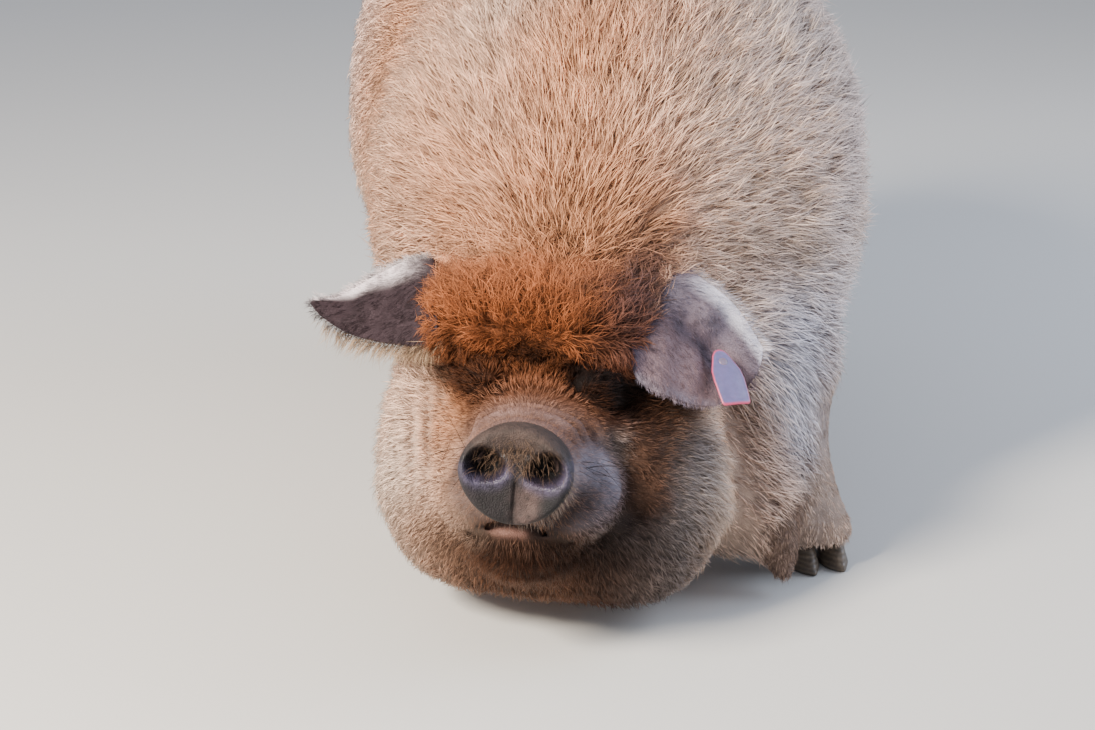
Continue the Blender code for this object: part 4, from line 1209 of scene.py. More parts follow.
def eye_material():
    """An eyeball behind its clear wet cornea: a brown iris round a dark pupil, white hidden by lids."""
    material, node = material_called("eye, wet cornea over brown iris")
    surfaced(node, Base_Color=stored(node, "coat_colour"), Roughness=0.06, IOR=1.376, Coat_Weight=1.0,
             Coat_Roughness=0.02)
    return material


def horn_material():
    """Hoof horn: layered keratin, matt and scuffed, with growth rings about 5 mm apart."""
    material, node = material_called("hoof horn, worn keratin")
    where = own_space(node)
    ring = node("ShaderNodeTexWave", {"bands_direction": "Z"}, Vector=where, Scale=64.0, Distortion=3.0,
                Detail=3.0, Detail_Scale=1.4).outputs["Fac"]
    scuff = noise(node, where, 220.0, 6.0, Roughness=0.7)
    blend = node("ShaderNodeMix", {"data_type": "RGBA"}, Factor=scuff, _6=(*linear("#2c241d"), 1),
                 _7=(*linear("#77695a"), 1)).outputs[2]
    shade = product(node, blend, ranged(node, ring, 0.72, 1.12), "ShaderNodeVectorMath")
    surfaced(node, Base_Color=shade, Roughness=0.48, IOR=1.54, Normal=relief(node, ring, 0.5, 0.0006))
    return material


def tag_material():
    """Ear tag: moulded polyurethane, sun-faded and a little milky, stronger in colour at its rim."""
    material, node = material_called("polyurethane, moulded and faded")
    where = own_space(node)
    # Dirt and rubbed places 4 to 8 mm across, and a moulded grain of 0.5 mm
    tone = ranged(node, noise(node, where, 180.0, 6.0, Roughness=0.6), 0.86, 1.08, 0.32, 0.7)
    grain = relief(node, noise(node, where, 1800.0, 2.0), 0.25, 0.0003)
    surfaced(node, Base_Color=tinted(node, tone), Roughness=0.34, IOR=1.5, Subsurface_Weight=0.25,
             Subsurface_Scale=0.002, Normal=grain)
    return material


def finish_of(name, maker):
    """The material of that key, made once."""
    made = bpy.data.materials.get(name)
    return made if made is not None else maker()


def painted(piece, material):
    """Gives a piece its material."""
    piece.data.materials.append(material)


# ---------------------------------------------------------------- skin
SKIN_NODES = ["head", "jaw", "muzzle", "neck", "shoulders", "barrel", "rump", "tail"]
SKIN_NODES += ["tassel_left", "tassel_right"]
SKIN_NODES += [f"leg_{foot}_{part}" for foot in FEET for part in ("upper", "lower")]


def skin_colours(points, coat, skin):
    """The coat's markings, with the pink of the lip, the dark lid edges (partly painted shade in the
    sockets) and painted shade behind the disc added.
    """
    colour = markings(points, coat, skin)
    lay = painter(colour)
    left, forward, up = head_directions(points)
    lip = bump_at(up, -0.055, 0.0045) * ease(0.120, 0.138, forward)
    lip = lip * fade(0.010, 0.022, np.abs(left + 0.009))
    lay(np.array(skin.lip), 0.8 * lip)
    line = bump_at(up, -0.048 - 3.5 * left**2, 0.0035) * ease(0.115, 0.130, forward)
    lay(np.array(skin.muzzle) * 0.12, 0.9 * line * fade(0.030, 0.045, np.abs(left)))
    corner = bump_at(left, 0.062, 0.022) * bump_at(up, -0.028, 0.028) * ease(0.10, 0.12, forward)
    lay(np.array(skin.muzzle) * 0.30, 0.8 * corner)
    for side in (-1, 1):
        # Near black round each eyeball: partly dark lid skin, partly painted shade in the socket
        lay(linear("#1d0f0a"), fade(0.0150, 0.024, from_eye(points, side)))
    # Near black just behind the snout disc: painted shade where the skin meets the disc
    behind = ease(0.148, 0.156, forward) * fade(0.030, 0.037, np.hypot(left, up - SNOUT_UP))
    lay(linear("#0b0809"), behind)
    return colour


class OBJECT_OT_pig_skin(bpy.types.Operator):
    """One skin over trunk, head, legs, tail and tassels"""

    bl_idname = "object.pig_skin"
    bl_label = "Skin"

    def execute(self, context):
        settings, coat = context.scene.pig_skin, context.scene.pig_coat
        points, quads = build_skin_surface(settings)
        piece = mesh_piece("skin", points, quads, SKIN_NODES)
        if 2 * len(quads) > TRIANGLE_LIMIT:
            raise RuntimeError(f"the skin has {2 * len(quads)} triangles, over {TRIANGLE_LIMIT}")
        point_colours(piece, "coat_colour", skin_colours(points, coat, settings))
        point_values(piece, "bare", muzzle_weight(points))
        painted(piece, skin_material())
        for other in bpy.data.objects:
            other.select_set(other == piece)
        context.view_layer.objects.active = piece
        piece.data.uv_layers.new(name="OFBake")
        bpy.ops.object.mode_set(mode="EDIT")
        bpy.ops.mesh.select_all(action="SELECT")
        bpy.ops.uv.smart_project(angle_limit=radians(66), island_margin=0.002)
        bpy.ops.object.mode_set(mode="OBJECT")
        piece.select_set(False)
        return {"FINISHED"}


# ---------------------------------------------------------------- snout
NOSTRIL_LEFT, NOSTRIL_UP = 0.0245, 0.0070


def snout_height(left, up):
    """Relief of the disc's face towards the front, in metres.

    A raised roll along the edge, two wells with lifted rims for nostrils, a groove
    down the middle of the lower half and a shallow dish between them.
    """
    edge = np.sqrt((left / SNOUT_HALF_WIDTH) ** 2 + (up / SNOUT_HALF_HEIGHT) ** 2)
    height = 0.0030 * bump_at(edge, 0.86, 0.16) - 0.0020 * bump_at(edge, 0.0, 0.6)
    height += 0.0026 * bump_at(up, 0.026, 0.008) * fade(0.6, 0.95, np.abs(left) / SNOUT_HALF_WIDTH)
    height -= 0.0022 * bump_at(up + 6.0 * left**2, 0.0185, 0.0028) * bump_at(left, 0, 0.024)
    for side in (-1, 1):
        across = (left - side * NOSTRIL_LEFT) * side
        raised = up - NOSTRIL_UP
        along, over = across * 0.94 + raised * 0.34, raised * 0.94 - across * 0.34
        near = np.sqrt((along / 0.0134) ** 2 + (over / (0.0112 + 0.0016 * np.tanh(along / 0.006))) ** 2)
        height -= 0.0210 * np.exp(-(near**4))
        low = ease(-0.004, 0.010, -raised + 0.35 * across)
        height += (0.0010 + 0.0010 * low) * bump_at(near, 1.45, 0.36)
    height -= 0.0030 * bump_at(left, 0.0008, 0.0019) * fade(-0.010, 0.000, up)
    height -= 0.0030 * bump_at(left, 0.0, 0.010) * bump_at(up, -0.038, 0.010)
    return height


def snout_surface(rows=96, around=160):
    """The disc as rings: its face from the middle out, then its edge, then its wall to the back.

    A ring at share r of the face lies at (W r cos a, H r sin a), a little narrower
    below; the edge turns back along a quarter circle of 6 mm.
    """
    turn = full_turn(around)
    share = np.linspace(0, 1, rows)[:, None]
    face = np.clip(share / 0.80, 0, 1)
    edge = np.clip((share - 0.80) / 0.10, 0, 1) * np.pi / 2
    wall = np.clip((share - 0.90) / 0.10, 0, 1)
    scale = 0.90 * np.maximum(face, 0.004) + 0.10 * np.sin(edge) - 0.07 * wall
    narrow = 1 - 0.10 * np.clip(-np.sin(turn), 0, 1)
    left = np.cos(turn) * SNOUT_HALF_WIDTH * scale * narrow
    up = np.sin(turn) * SNOUT_HALF_HEIGHT * scale
    inner = fade(0.80, 0.92, share)
    forward = SNOUT_REACH - 0.003 + snout_height(left, up) * inner
    forward = forward - 0.006 * (1 - np.cos(edge)) - (SNOUT_REACH - SNOUT_BACK) * wall
    return HEAD_CENTRE + from_head(left, forward, up + SNOUT_UP)


def snout_colours(points, skin):
    """Grey face, lavender nostril rims partly painted highlight, black painted shade in the wells, brown
    dust above, paler right half below as painted highlight.
    """
    left, _, up = head_directions(points)
    up = up - SNOUT_UP
    colour = even(skin.snout, len(points))
    lay = painter(colour)
    lay(linear("#43352f"), 0.80 * ease(0.010, 0.028, up))
    # Paler beside the groove on the pig's left, below: painted highlight on the ridge there
    lay(linear("#5b4843"), 0.65 * bump_at(left, 0.013, 0.011) * fade(-0.014, 0.0, up))
    # Near black low on the pig's left side of the disc: painted shade
    lay(linear("#0f0d10"), 0.95 * ease(0.016, 0.032, left) * fade(-0.02, 0.0, up))
    lay(linear("#272124"), 0.65 * ease(0.020, 0.040, -left) * fade(-0.02, 0.0, up))
    wet = np.zeros(len(points))
    for side in (-1, 1):
        across, raised = (left - side * NOSTRIL_LEFT) * side, up - NOSTRIL_UP
        near = np.sqrt((across / 0.0130) ** 2 + (raised / 0.0112) ** 2)
        low = ease(-0.008, 0.008, -raised + 0.5 * across * (1 if side > 0 else -0.2))
        rim = bump_at(near, 1.45, 0.42) * low
        # Lavender on each nostril's lower rim: partly moist skin, partly painted highlight
        lay(np.array(skin.nostril), 0.30 * rim)
        wet = np.maximum(wet, bump_at(near, 1.15, 0.5))
        # Near black in each nostril's well: painted shade
        lay(linear("#0b090a"), fade(0.72, 1.02, near))
    return colour, wet


class OBJECT_OT_pig_snout(bpy.types.Operator):
    """The snout disc with its nostrils"""

    bl_idname = "object.pig_snout"
    bl_label = "Snout"

    def execute(self, context):
        points, faces = closed_tube(snout_surface())
        piece = mesh_piece("snout", points, faces, ["snout_disc"])
        colour, wet = snout_colours(points, context.scene.pig_skin)
        point_colours(piece, "coat_colour", colour)
        point_values(piece, "wet", wet)
        painted(piece, snout_material())
        return {"FINISHED"}


# ---------------------------------------------------------------- eyes
def eye_surface(side, rows=40, around=48):
    """An eyeball as rings round its line of sight, with the cornea standing 1 mm proud.

    At angle t from the line of sight the radius is R + 0.0010 exp(-(t / 0.42)^2).
    """
    centre = in_head(side * EYE_LEFT, EYE_FORWARD - 0.0015, EYE_UP)
    sight = HEAD_TURN @ turned(x=4, z=-side * 22)
    tilt = np.linspace(0.02, np.pi - 0.02, rows)[:, None]
    turn = full_turn(around)
    radius = EYE_RADIUS + 0.0010 * np.exp(-((tilt / 0.42) ** 2))
    local = np.stack([np.sin(tilt) * np.cos(turn), np.cos(tilt) + 0 * turn, np.sin(tilt) * np.sin(turn)], -1)
    return centre + (local * radius[..., None]) @ sight.T, tilt + 0 * turn


class OBJECT_OT_pig_eyes(bpy.types.Operator):
    """Both eyeballs"""

    bl_idname = "object.pig_eyes"
    bl_label = "Eyes"

    def execute(self, context):
        material = eye_material()
        for side, word in ((1, "left"), (-1, "right")):
            rings, tilt = eye_surface(side)
            points, faces = closed_tube(rings)
            piece = mesh_piece(f"eyeball_{word}", points, faces, [f"eye_{word}"])
            tilt = np.concatenate([tilt.ravel(), (0, np.pi)])
            colour = even(linear("#2a1509"), len(points))
            colour = mixed(colour, linear("#050304"), fade(0.20, 0.24, tilt))
            colour = mixed(colour, linear("#6b5a50"), ease(0.56, 0.66, tilt))
            point_colours(piece, "coat_colour", colour)
            painted(piece, material)
        return {"FINISHED"}


# ---------------------------------------------------------------- ears
# Each ear passes through four points on each of four lines, from where it leaves the
# head to its outer end; each line runs from the lower edge to the upper ridge, and all
# are measured from the place between the front feet.
EARS = {
    "right": [
        [(-0.187, -0.133, 0.275), (-0.185, -0.117, 0.288), (-0.184, -0.082, 0.303), (-0.188, -0.026, 0.313)],
        [(-0.225, -0.085, 0.254), (-0.222, -0.066, 0.272), (-0.222, -0.042, 0.290), (-0.227, -0.009, 0.308)],
        [(-0.267, -0.050, 0.255), (-0.265, -0.038, 0.266), (-0.262, -0.024, 0.276), (-0.260, -0.004, 0.285)],
        [(-0.297, -0.026, 0.268), (-0.302, -0.022, 0.272), (-0.304, -0.017, 0.275), (-0.306, -0.010, 0.279)],
    ],
    "left": [
        [(-0.031, -0.152, 0.251), (-0.031, -0.118, 0.275), (-0.015, -0.067, 0.295), (0.019, -0.016, 0.306)],
        [(-0.014, -0.166, 0.236), (-0.004, -0.140, 0.267), (0.020, -0.096, 0.289), (0.051, -0.060, 0.298)],
        [(0.019, -0.153, 0.220), (0.030, -0.121, 0.243), (0.050, -0.089, 0.262), (0.077, -0.067, 0.270)],
        [(0.051, -0.132, 0.208), (0.071, -0.115, 0.215), (0.087, -0.099, 0.225), (0.099, -0.085, 0.240)],
    ],
}
EAR_FOLD = {"right": (0.0, 0.5, 0.5), "left": (0.0075, 0.66, 0.42)}  # depth, and t where it starts and ends
EAR_THICKNESS = 0.0050
EAR_TUFTS = 9000


def cubic_shares(t):
    """Weights of values at 0, 1/3, 2/3 and 1 for the cubic that passes through all four."""
    a, b, c, d = t, t - 1 / 3, t - 2 / 3, t - 1
    return np.stack([-4.5 * b * c * d, 13.5 * a * c * d, -13.5 * a * b * d, 4.5 * a * b * c], axis=-1)


def ear_surface(word, rows=72, around=96):
    """A leaf of skin on the bicubic patch through sixteen points, as rings from root to tip.

    Going round a ring, t runs from one edge to the other over the front and back again
    over the back.  The skin is thicker at the root, its edges are round, a fold presses
    the front in along a line, and soft ripples follow the veins.
    """
    grid = np.array(EARS[word]) + BODY_SHIFT
    reach = -0.04 if word == "right" else 0.25
    share = (-reach + (1 + reach) * np.linspace(0, 1, rows) ** 0.95)[:, None]
    turn = full_turn(around)
    close = np.sqrt(np.clip((1 - share) / 0.06, 0, 1))
    t = 0.5 + 0.5 * np.cos(turn) * (0.35 + 0.65 * close)
    s = np.minimum(share, 0.997) + 0 * t

    def on_patch(s, t):
        """The patch at (s, t), carried on in a straight line inside the head."""
        inner = np.maximum(s, 0.02)
        found = np.einsum("rai,raj,ijk->rak", cubic_shares(inner), cubic_shares(t), grid)
        root = np.einsum("raj,ijk->raik", cubic_shares(t), grid)
        return found + (s - inner)[..., None] * (root[..., 1, :] - root[..., 0, :]) * 3

    middle = on_patch(s, t)
    step = 0.01
    face = unit(np.cross(on_patch(s + step, t) - middle, on_patch(s, t + step) - middle))
    toward = np.array((0.0, -1.0, 0.4))
    face = face * np.sign((face @ toward).mean())
    inside = np.clip(s, 0, 1)
    depth, start, end = EAR_FOLD[word]
    lift = -depth * bump_at(t, start + (end - start) * inside, 0.13) * ease(0.0, 0.25, inside)
    lift = lift + 0.0016 * np.sin(19 * inside + 5 * t) * t * (1 - t) * 4
    edge = 2 * t - 1
    lift = lift + 0.0020 * np.sin(9 * inside + 2.0 * edge) * ease(0.6, 1.0, np.abs(edge))
    thick = EAR_THICKNESS / 2 * (1.5 - 0.75 * inside) * (0.4 + 0.6 * close)
    rings = middle + (np.sin(turn) * thick + lift)[..., None] * face
    return rings, inside, edge


def ear_leaf(word):
    """Points, triangles, share of the way out and place across of an ear, its end points included."""
    rings, *extras = ear_surface(word)
    points, faces = closed_tube(rings)
    share, across = (np.concatenate([v.ravel(), v[:1].mean(1), v[-1:].mean(1)]) for v in extras)
    return points, faces, share, across


def ear_colours(word, share, across):
    """Skin of the ears: dusky, paler along the edges, a painted highlight along the ridge, and slate painted
    shade at the root and in the fold of the folded ear.
    """
    if word == "right":
        # Near white along the rolled ridge: painted highlight
        ridge = ease(0.42, 0.90, across) * ease(0.05, 0.35, share)
        return mixed(even(linear("#34292d"), len(share)), linear("#e8dadd"), 0.92 * ridge)
    colour = even(linear("#836c6f"), len(share))
    lay = painter(colour)
    # Slate near the root: painted cool shade
    lay(linear("#25283c"), 0.90 * fade(0.10, 0.42, share) * fade(0.55, 0.85, across))
    lay(linear("#6d6875"), 0.6 * ease(0.0, 0.4, across))
    _, start, end = EAR_FOLD[word]
    # Dark in the fold's valley: painted shade
    painted_valley_shade = bump_at((across + 1) / 2, start + (end - start) * share, 0.07) * ease(0.15, 0.45, share)
    lay(linear("#3f3a47"), 0.75 * painted_valley_shade)
    # Near white along the upper edge: painted highlight
    lay(linear("#e4dfea"), 0.95 * ease(0.55, 0.85, across) * ease(0.15, 0.40, share))
    lay(linear("#938d9b"), 0.4 * fade(-0.95, -0.80, across))
    return colour


class OBJECT_OT_pig_ears(bpy.types.Operator):
    """Both ears: one standing out sideways, one folded forward over the cheek"""

    bl_idname = "object.pig_ears"
    bl_label = "Ears"

    def execute(self, context):
        for word in EARS:
            points, faces, share, across = ear_leaf(word)
            piece = mesh_piece(f"ear_skin_{word}", points, faces, [f"ear_{word}"])
            point_colours(piece, "coat_colour", ear_colours(word, share, across))
            point_values(piece, "bare", np.ones(len(points)))
            painted(piece, finish_of("pig skin, creased", skin_material))
        return {"FINISHED"}


# ---------------------------------------------------------------- feet
HOOF_TOP, HOOF_WIDTH, HOOF_LENGTH, HOOF_CLEFT = 0.030, 0.0265, 0.054, 0.0035


def foot_directions(name):
    """Middle of a foot, and its outward and forward directions."""
    centre, heading = FEET[name]
    turn = turned(z=heading)
    return centre, turn[:, 0], -turn[:, 1]


def hoof_surface(name, claw, rows=28, around=56):
    """A D-shaped claw: at each height an oval narrowed in front, its front leaning back.

    The oval is wide cos, long sin, narrowed by 1 - 0.38 cos^2 in front; the sole's
    edge is worn round over 2 mm and the crown is rounded into the foot.
    """
    foot, across, forward = foot_directions(name)
    turn = full_turn(around)
    share = np.linspace(0, 1, rows)[:, None]
    height = HOOF_TOP * share**1.15
    scale = np.interp(height, (0, 0.0006, 0.0020, 0.0045, 0.027, HOOF_TOP),
                      (0.90, 0.955, 0.985, 1, 0.83, 0.72))
    back = np.interp(height, (0.004, HOOF_TOP), (0, 0.009))
    wide, long = HOOF_WIDTH / 2 * scale, HOOF_LENGTH / 2 * scale
    front = np.cos(turn)
    wear = 0.0005 * np.sin(5 * turn + 9 * share) * (1 - share) + 0.0003 * np.sin(90 * share)
    reach = front * (long + wear) - back
    narrow = 1 - 0.38 * np.clip(front, 0, 1) ** 2
    sideways = claw * (HOOF_CLEFT / 2 + HOOF_WIDTH / 2) + np.sin(turn) * (wide + wear) * narrow
    rings = foot + sideways[..., None] * across + reach[..., None] * forward
    rings[..., 2] = height
    return rings


def tube_surface(points, radii, around, squash=1.0):
    """Rings round the quadratic curve through three points; radii are (share, radius)."""
    shares = np.array([r[0] for r in radii])
    radius = np.array([r[1] for r in radii])[:, None]
    start, bend, end = points
    along = unit((bend - start) * (1 - shares[:, None]) + (end - bend) * shares[:, None])
    first = unit(np.array((1.0, 0, 0)) - along * along[:, :1])
    second = np.cross(along, first)
    turn = full_turn(around)
    rings = bent(points, shares)[:, None] + (np.cos(turn) * radius)[..., None] * first[:, None]
    return rings + (np.sin(turn) * radius * squash)[..., None] * second[:, None]


def dewclaw_surface(name, claw):
    """A horn cone behind the pastern, bent down, its end worn round."""
    foot, across, forward = foot_directions(name)
    up = np.array((0, 0, 1.0))
    points = (foot + across * claw * 0.014 - forward * 0.034 + up * 0.074,
              foot + across * claw * 0.018 - forward * 0.062 + up * 0.070,
              foot + across * claw * 0.019 - forward * 0.068 + up * 0.042)
    shares = np.linspace(0, 1, 26)
    radius = 0.0085 * np.interp(shares, (0, 0.35, 0.7, 0.93, 0.98, 1), (0.88, 1, 0.8, 0.45, 0.34, 0.16))
    radius = radius * (1 + 0.03 * np.sin(shares * 60))
    return tube_surface(points, list(zip(shares, radius)), 32)


class OBJECT_OT_pig_claws(bpy.types.Operator):
    """Hooves and dewclaws"""

    bl_idname = "object.pig_claws"
    bl_label = "Hooves and dewclaws"

    def execute(self, context):
        material = horn_material()
        for name in FEET:
            for claw in (1, -1):
                outer = (claw > 0) == name.endswith("left")
                word = "outer" if outer else "inner"
                for kind, shape in (("hoof", hoof_surface), ("dewclaw", dewclaw_surface)):
                    points, faces = closed_tube(shape(name, claw))
                    node = f"{kind}_{name}_{word}"
                    painted(mesh_piece(f"horn_{node}", points, faces, [node]), material)
        return {"FINISHED"}


# ---------------------------------------------------------------- ear tag
TAG_POINT = place(0.0534, -0.1168, 0.2427)
TAG_DOWN = unit(np.array((0.195, -0.752, -0.629)))
TAG_OUT = unit(np.array((0.220, -0.591, 0.776)))
TAG_LENGTH, TAG_WIDTH, TAG_THICKNESS = 0.057, 0.029, 0.0016


def tag_surface(rows=64, around=120):
    """A plate with round edges: rings from the middle of one face over the rim to the other.

    The outline runs down the plate with a half width of its own at each height, and
    rows scale it towards the plate's middle; the face is a little hollow and bowed.
    """
    side = unit(np.cross(TAG_DOWN, TAG_OUT))
    below = np.array((-0.240, -0.232, -0.21, -0.14, 0.0, 0.15, 0.32, 0.56, 0.72, 0.752, 0.760)) * TAG_LENGTH
    half = np.array((0.02, 0.18, 0.32, 0.52, 0.72, 0.94, 1.0, 0.96, 0.92, 0.84, 0.70)) * TAG_WIDTH / 2
    outline = np.concatenate([np.stack([below, half], 1), np.stack([below[::-1], -half[::-1]], 1)])
    outline = np.concatenate([outline, outline[:1]])
    run = np.concatenate([[0], np.cumsum(np.linalg.norm(np.diff(outline, axis=0), axis=1))])
    at = np.linspace(0, run[-1], around, endpoint=False)
    down, wide = np.interp(at, run, outline[:, 0]), np.interp(at, run, outline[:, 1])
    middle = 0.26 * TAG_LENGTH
    share = np.linspace(0, 1, rows)[:, None]
    scale = np.interp(share, (0, 0.42, 0.46, 0.5, 0.54, 0.58, 1), (0.02, 0.965, 0.99, 1, 0.99, 0.965, 0.02))
    depth = np.interp(share, (0, 0.42, 0.46, 0.5, 0.54, 0.58, 1), (-0.5, -0.5, -0.36, 0, 0.36, 0.5, 0.5))
    d = middle + (down - middle)[None] * scale
    h = wide[None] * scale
    rim = ease(0.80, 0.90, scale) * fade(0.94, 0.99, scale) * 0.0003
    depth = depth * TAG_THICKNESS + rim * np.sign(depth)
    bow = 0.0011 * np.cos(h / TAG_WIDTH * np.pi) + 0.0010 * np.sin(d / TAG_LENGTH * 5)
    rings = TAG_POINT + d[..., None] * TAG_DOWN + h[..., None] * side + (depth + bow)[..., None] * TAG_OUT
    return rings, scale + 0 * d


def turned_surface(centre, axis, stations, around=48):
    """Rings of a turned shape: (height along the axis, radius) stations."""
    first = unit(np.cross(axis, (0.3, 0.2, 0.9)))
    second = np.cross(axis, first)
    turn = np.linspace(0, 2 * np.pi, around, endpoint=False)
    circle = np.cos(turn)[:, None] * first + np.sin(turn)[:, None] * second
    return np.stack([centre + axis * height + circle * radius for height, radius in stations])


class OBJECT_OT_pig_tag(bpy.types.Operator):
    """The plain ear tag and its rivet"""

    bl_idname = "object.pig_tag"
    bl_label = "Ear tag"

    def execute(self, context):
        material = tag_material()
        rings, scale = tag_surface()
        points, faces = closed_tube(rings)
        flag = mesh_piece("tag_plate", points, faces, ["tag_flag"])
        scale = np.concatenate([scale.ravel(), (0, 0)])
        colour = even(linear("#625d86"), len(points))
        point_colours(flag, "coat_colour", mixed(colour, linear("#c0405f"), 0.85 * ease(0.90, 0.985, scale)))
        painted(flag, material)
        back, top = -0.0103, TAG_THICKNESS / 2 + 0.0003
        stations = ((back - 0.0085, 0.0070), (back - 0.0082, 0.0079), (back - 0.0074, 0.0084),
                    (back - 0.0065, 0.0085), (back - 0.0061, 0.0080), (back - 0.0060, 0.0026), (top, 0.0024),
                    (top + 0.0001, 0.0040), (top + 0.0005, 0.0042), (top + 0.0011, 0.0038),
                    (top + 0.0014, 0.0030))
        points, faces = closed_tube(turned_surface(TAG_POINT, TAG_OUT, stations))
        pin = mesh_piece("tag_rivet", points, faces, ["tag_pin"])
        point_colours(pin, "coat_colour", even(linear("#6f6478"), len(points)))
        painted(pin, material)
        return {"FINISHED"}


# ---------------------------------------------------------------- coat
PATCH_REACH = 0.05  # corners further apart on the unwrap than this lie on two islands


def skin_arrays():
    """Points, quads and unwrapped corners of the finished skin."""
    mesh = bpy.data.objects["skin"].data
    points = np.empty(len(mesh.vertices) * 3, np.float32)
    mesh.vertices.foreach_get("co", points)
    quads = np.empty(len(mesh.loops), np.int32)
    mesh.loops.foreach_get("vertex_index", quads)
    spread = np.empty(len(mesh.loops) * 2, np.float32)
    mesh.uv_layers["OFBake"].data.foreach_get("uv", spread)
    return points.reshape(-1, 3).astype(float), quads.reshape(-1, 4), spread.reshape(-1, 2)


def hairless(points, normals):
    """1 where no tuft grows: eyes and lid edges, mouth, behind the disc, soles."""
    left, forward, up = head_directions(points)
    none = np.zeros(len(points))
    for side in (-1, 1):
        none = np.maximum(none, fade(0.0150, 0.0185, from_eye(points, side)))
    none = np.maximum(none, 0.97 * fade(0.009, 0.013, from_crease(points, 1)))
    none = np.maximum(none, ease(0.166, 0.172, forward))
    line = bump_at(up, -0.050 - 3.0 * left**2, 0.007) * ease(0.12, 0.14, forward)
    none = np.maximum(none, ease(0.4, 0.8, line * fade(0.040, 0.055, np.abs(left))))
    sole = fade(0.026, 0.032, points[:, 2]) * ease(0.5, 0.9, -normals[:, 2])
    return np.maximum(none, sole)


def region_of(points):
    """The piece of coat that each root belongs to, by number, and the pieces' names."""
    left, forward, up = head_directions(points)
    _, y, z = body_directions(points)
    names = ["shoulders", "flanks", "rump", "belly", "legs", "tail_and_tassels", "neck", "cheek_right",
             "cheek_left", "face", "forehead"]
    number = np.zeros(len(points), int)
    number[y > 0.34] = 1
    number[y > 0.56] = 2
    number[(z < 0.24) & (y > 0.05)] = 3
    number[(y < 0.13) & (z > 0.10)] = 6
    number[leg_weight(points) > 0.5] = 4
    head = head_weight(points) > 0.5
    number[head] = 7
    number[head & (left > 0)] = 8
    number[head & (forward > 0.058)] = 9
    number[head & (up > 0.070) & (forward > -0.045) & (np.abs(left) < 0.112)] = 10
    number[(tail_weight(points) > 0.5) | (tassel_weight(points) > 0.5)] = 5
    return number, names


class OBJECT_OT_pig_coat(bpy.types.Operator):
    """The coat of solid tufts over the skin"""

    bl_idname = "object.pig_coat"
    bl_label = "Coat"

    def execute(self, context):
        coat, skin = context.scene.pig_coat, context.scene.pig_skin
        points, quads, spread = skin_arrays()
        normals = point_normals(points, quads)
        density = coat_growth(points)[3] * (1 - hairless(points, normals))
        count = coat.strands // 1
        corners, weights = surface_scatter(points, quads, density, count, coat.seed)
        ends = quads.ravel()[corners]
        roots = (points[ends] * weights[..., None]).sum(1)
        upright = unit((normals[ends] * weights[..., None]).sum(1))
        patch = (spread[corners] * weights[..., None]).sum(1)
        whole = np.ptp(spread[corners], axis=1).max(1, keepdims=True) < PATCH_REACH
        patch = np.where(whole, patch, spread[corners[:, 0]])
        colours = markings(roots, coat, skin)
        colours = mixed(colours, np.array(coat.sand), 0.22 * muzzle_weight(roots))
        lie = lie_of_coat(roots, upright)
        growth = coat_growth(roots)
        number, names = region_of(roots)
        for k, name in enumerate(names):
            here = number == k
            part = [values[here] for values in growth]
            curly = name == "forehead"
            grow_coat(f"coat_{name}", roots[here], upright[here], lie[here], part, colours[here],
                      patch[here], coat, coat.seed + k, *((2, 0.55, 1.7) if curly else (1, 0.22, 0.35)))
        return {"FINISHED"}


class OBJECT_OT_pig_ear_fur(bpy.types.Operator):
    """Short fur on both ears, with longer hair along their edges"""

    bl_idname = "object.pig_ear_fur"
    bl_label = "Ear fur"

    def execute(self, context):
        coat = context.scene.pig_coat
        for word in EARS:
            points, faces, share, across = ear_leaf(word)
            upright = point_normals(points, faces)
            density = 1.0 + 0.9 * ease(0.75, 0.97, np.abs(across))
            count = EAR_TUFTS // 1
            corners, weights = surface_scatter(points, faces, density, count, coat.seed + 40)
            ends = faces.ravel()[corners]
            known = np.concatenate([points, upright, share[:, None], across[:, None],
                                    ear_colours(word, share, across)], axis=1)
            known = (known[ends] * weights[..., None]).sum(1)
            roots, upright = known[:, :3], unit(known[:, 3:6])
            share_at, across_at = known[:, 6], known[:, 7]
            grid = np.array(EARS[word])
            along = grid[3].mean(0) - grid[0].mean(0)
            spread = grid[:, 3].mean(0) - grid[:, 0].mean(0)
            down = np.array((0, 0, -0.5)) if word == "right" else np.zeros(3)
            outwards = (across_at * ease(0.4, 1.0, np.abs(across_at)))[:, None]
            lie = unit(along) + unit(spread) * outwards * 1.3 + down
            lie = unit(lie - upright * (lie * upright).sum(1, keepdims=True))
            low_edge = fade(-0.97, -0.82, across_at)
            top_edge = ease(0.82, 0.97, across_at)
            fringe = (1.0 if word == "right" else 0.0) * low_edge
            long = 0.014 * fringe + 0.006 * top_edge - 0.003 * (word == "left") * low_edge
            ones = np.ones(len(roots))
            growth = (0.0105 + long, 0.34 * ones, 15 + 14 * fringe, ones, 0.6 * ones)
            # The ear skin's colours, their painted highlight and shade included; the paler top edge goes on
            # with the painted highlight of the ridge
            colour = known[:, 8:] * 1.15
            colour = mixed(colour, linear("#c9a988"), 0.8 * fringe)
            colour = mixed(colour, linear("#d9ccca"), 0.7 * top_edge)
            patch = np.stack([0.02 + 0.96 * share_at, 0.5 + 0.48 * across_at], axis=1)
            grow_coat(f"ear_fur_{word}", roots, upright, lie, growth, colour, patch, coat,
                      coat.seed + 50, 1, 0.3, 0.4)
        return {"FINISHED"}


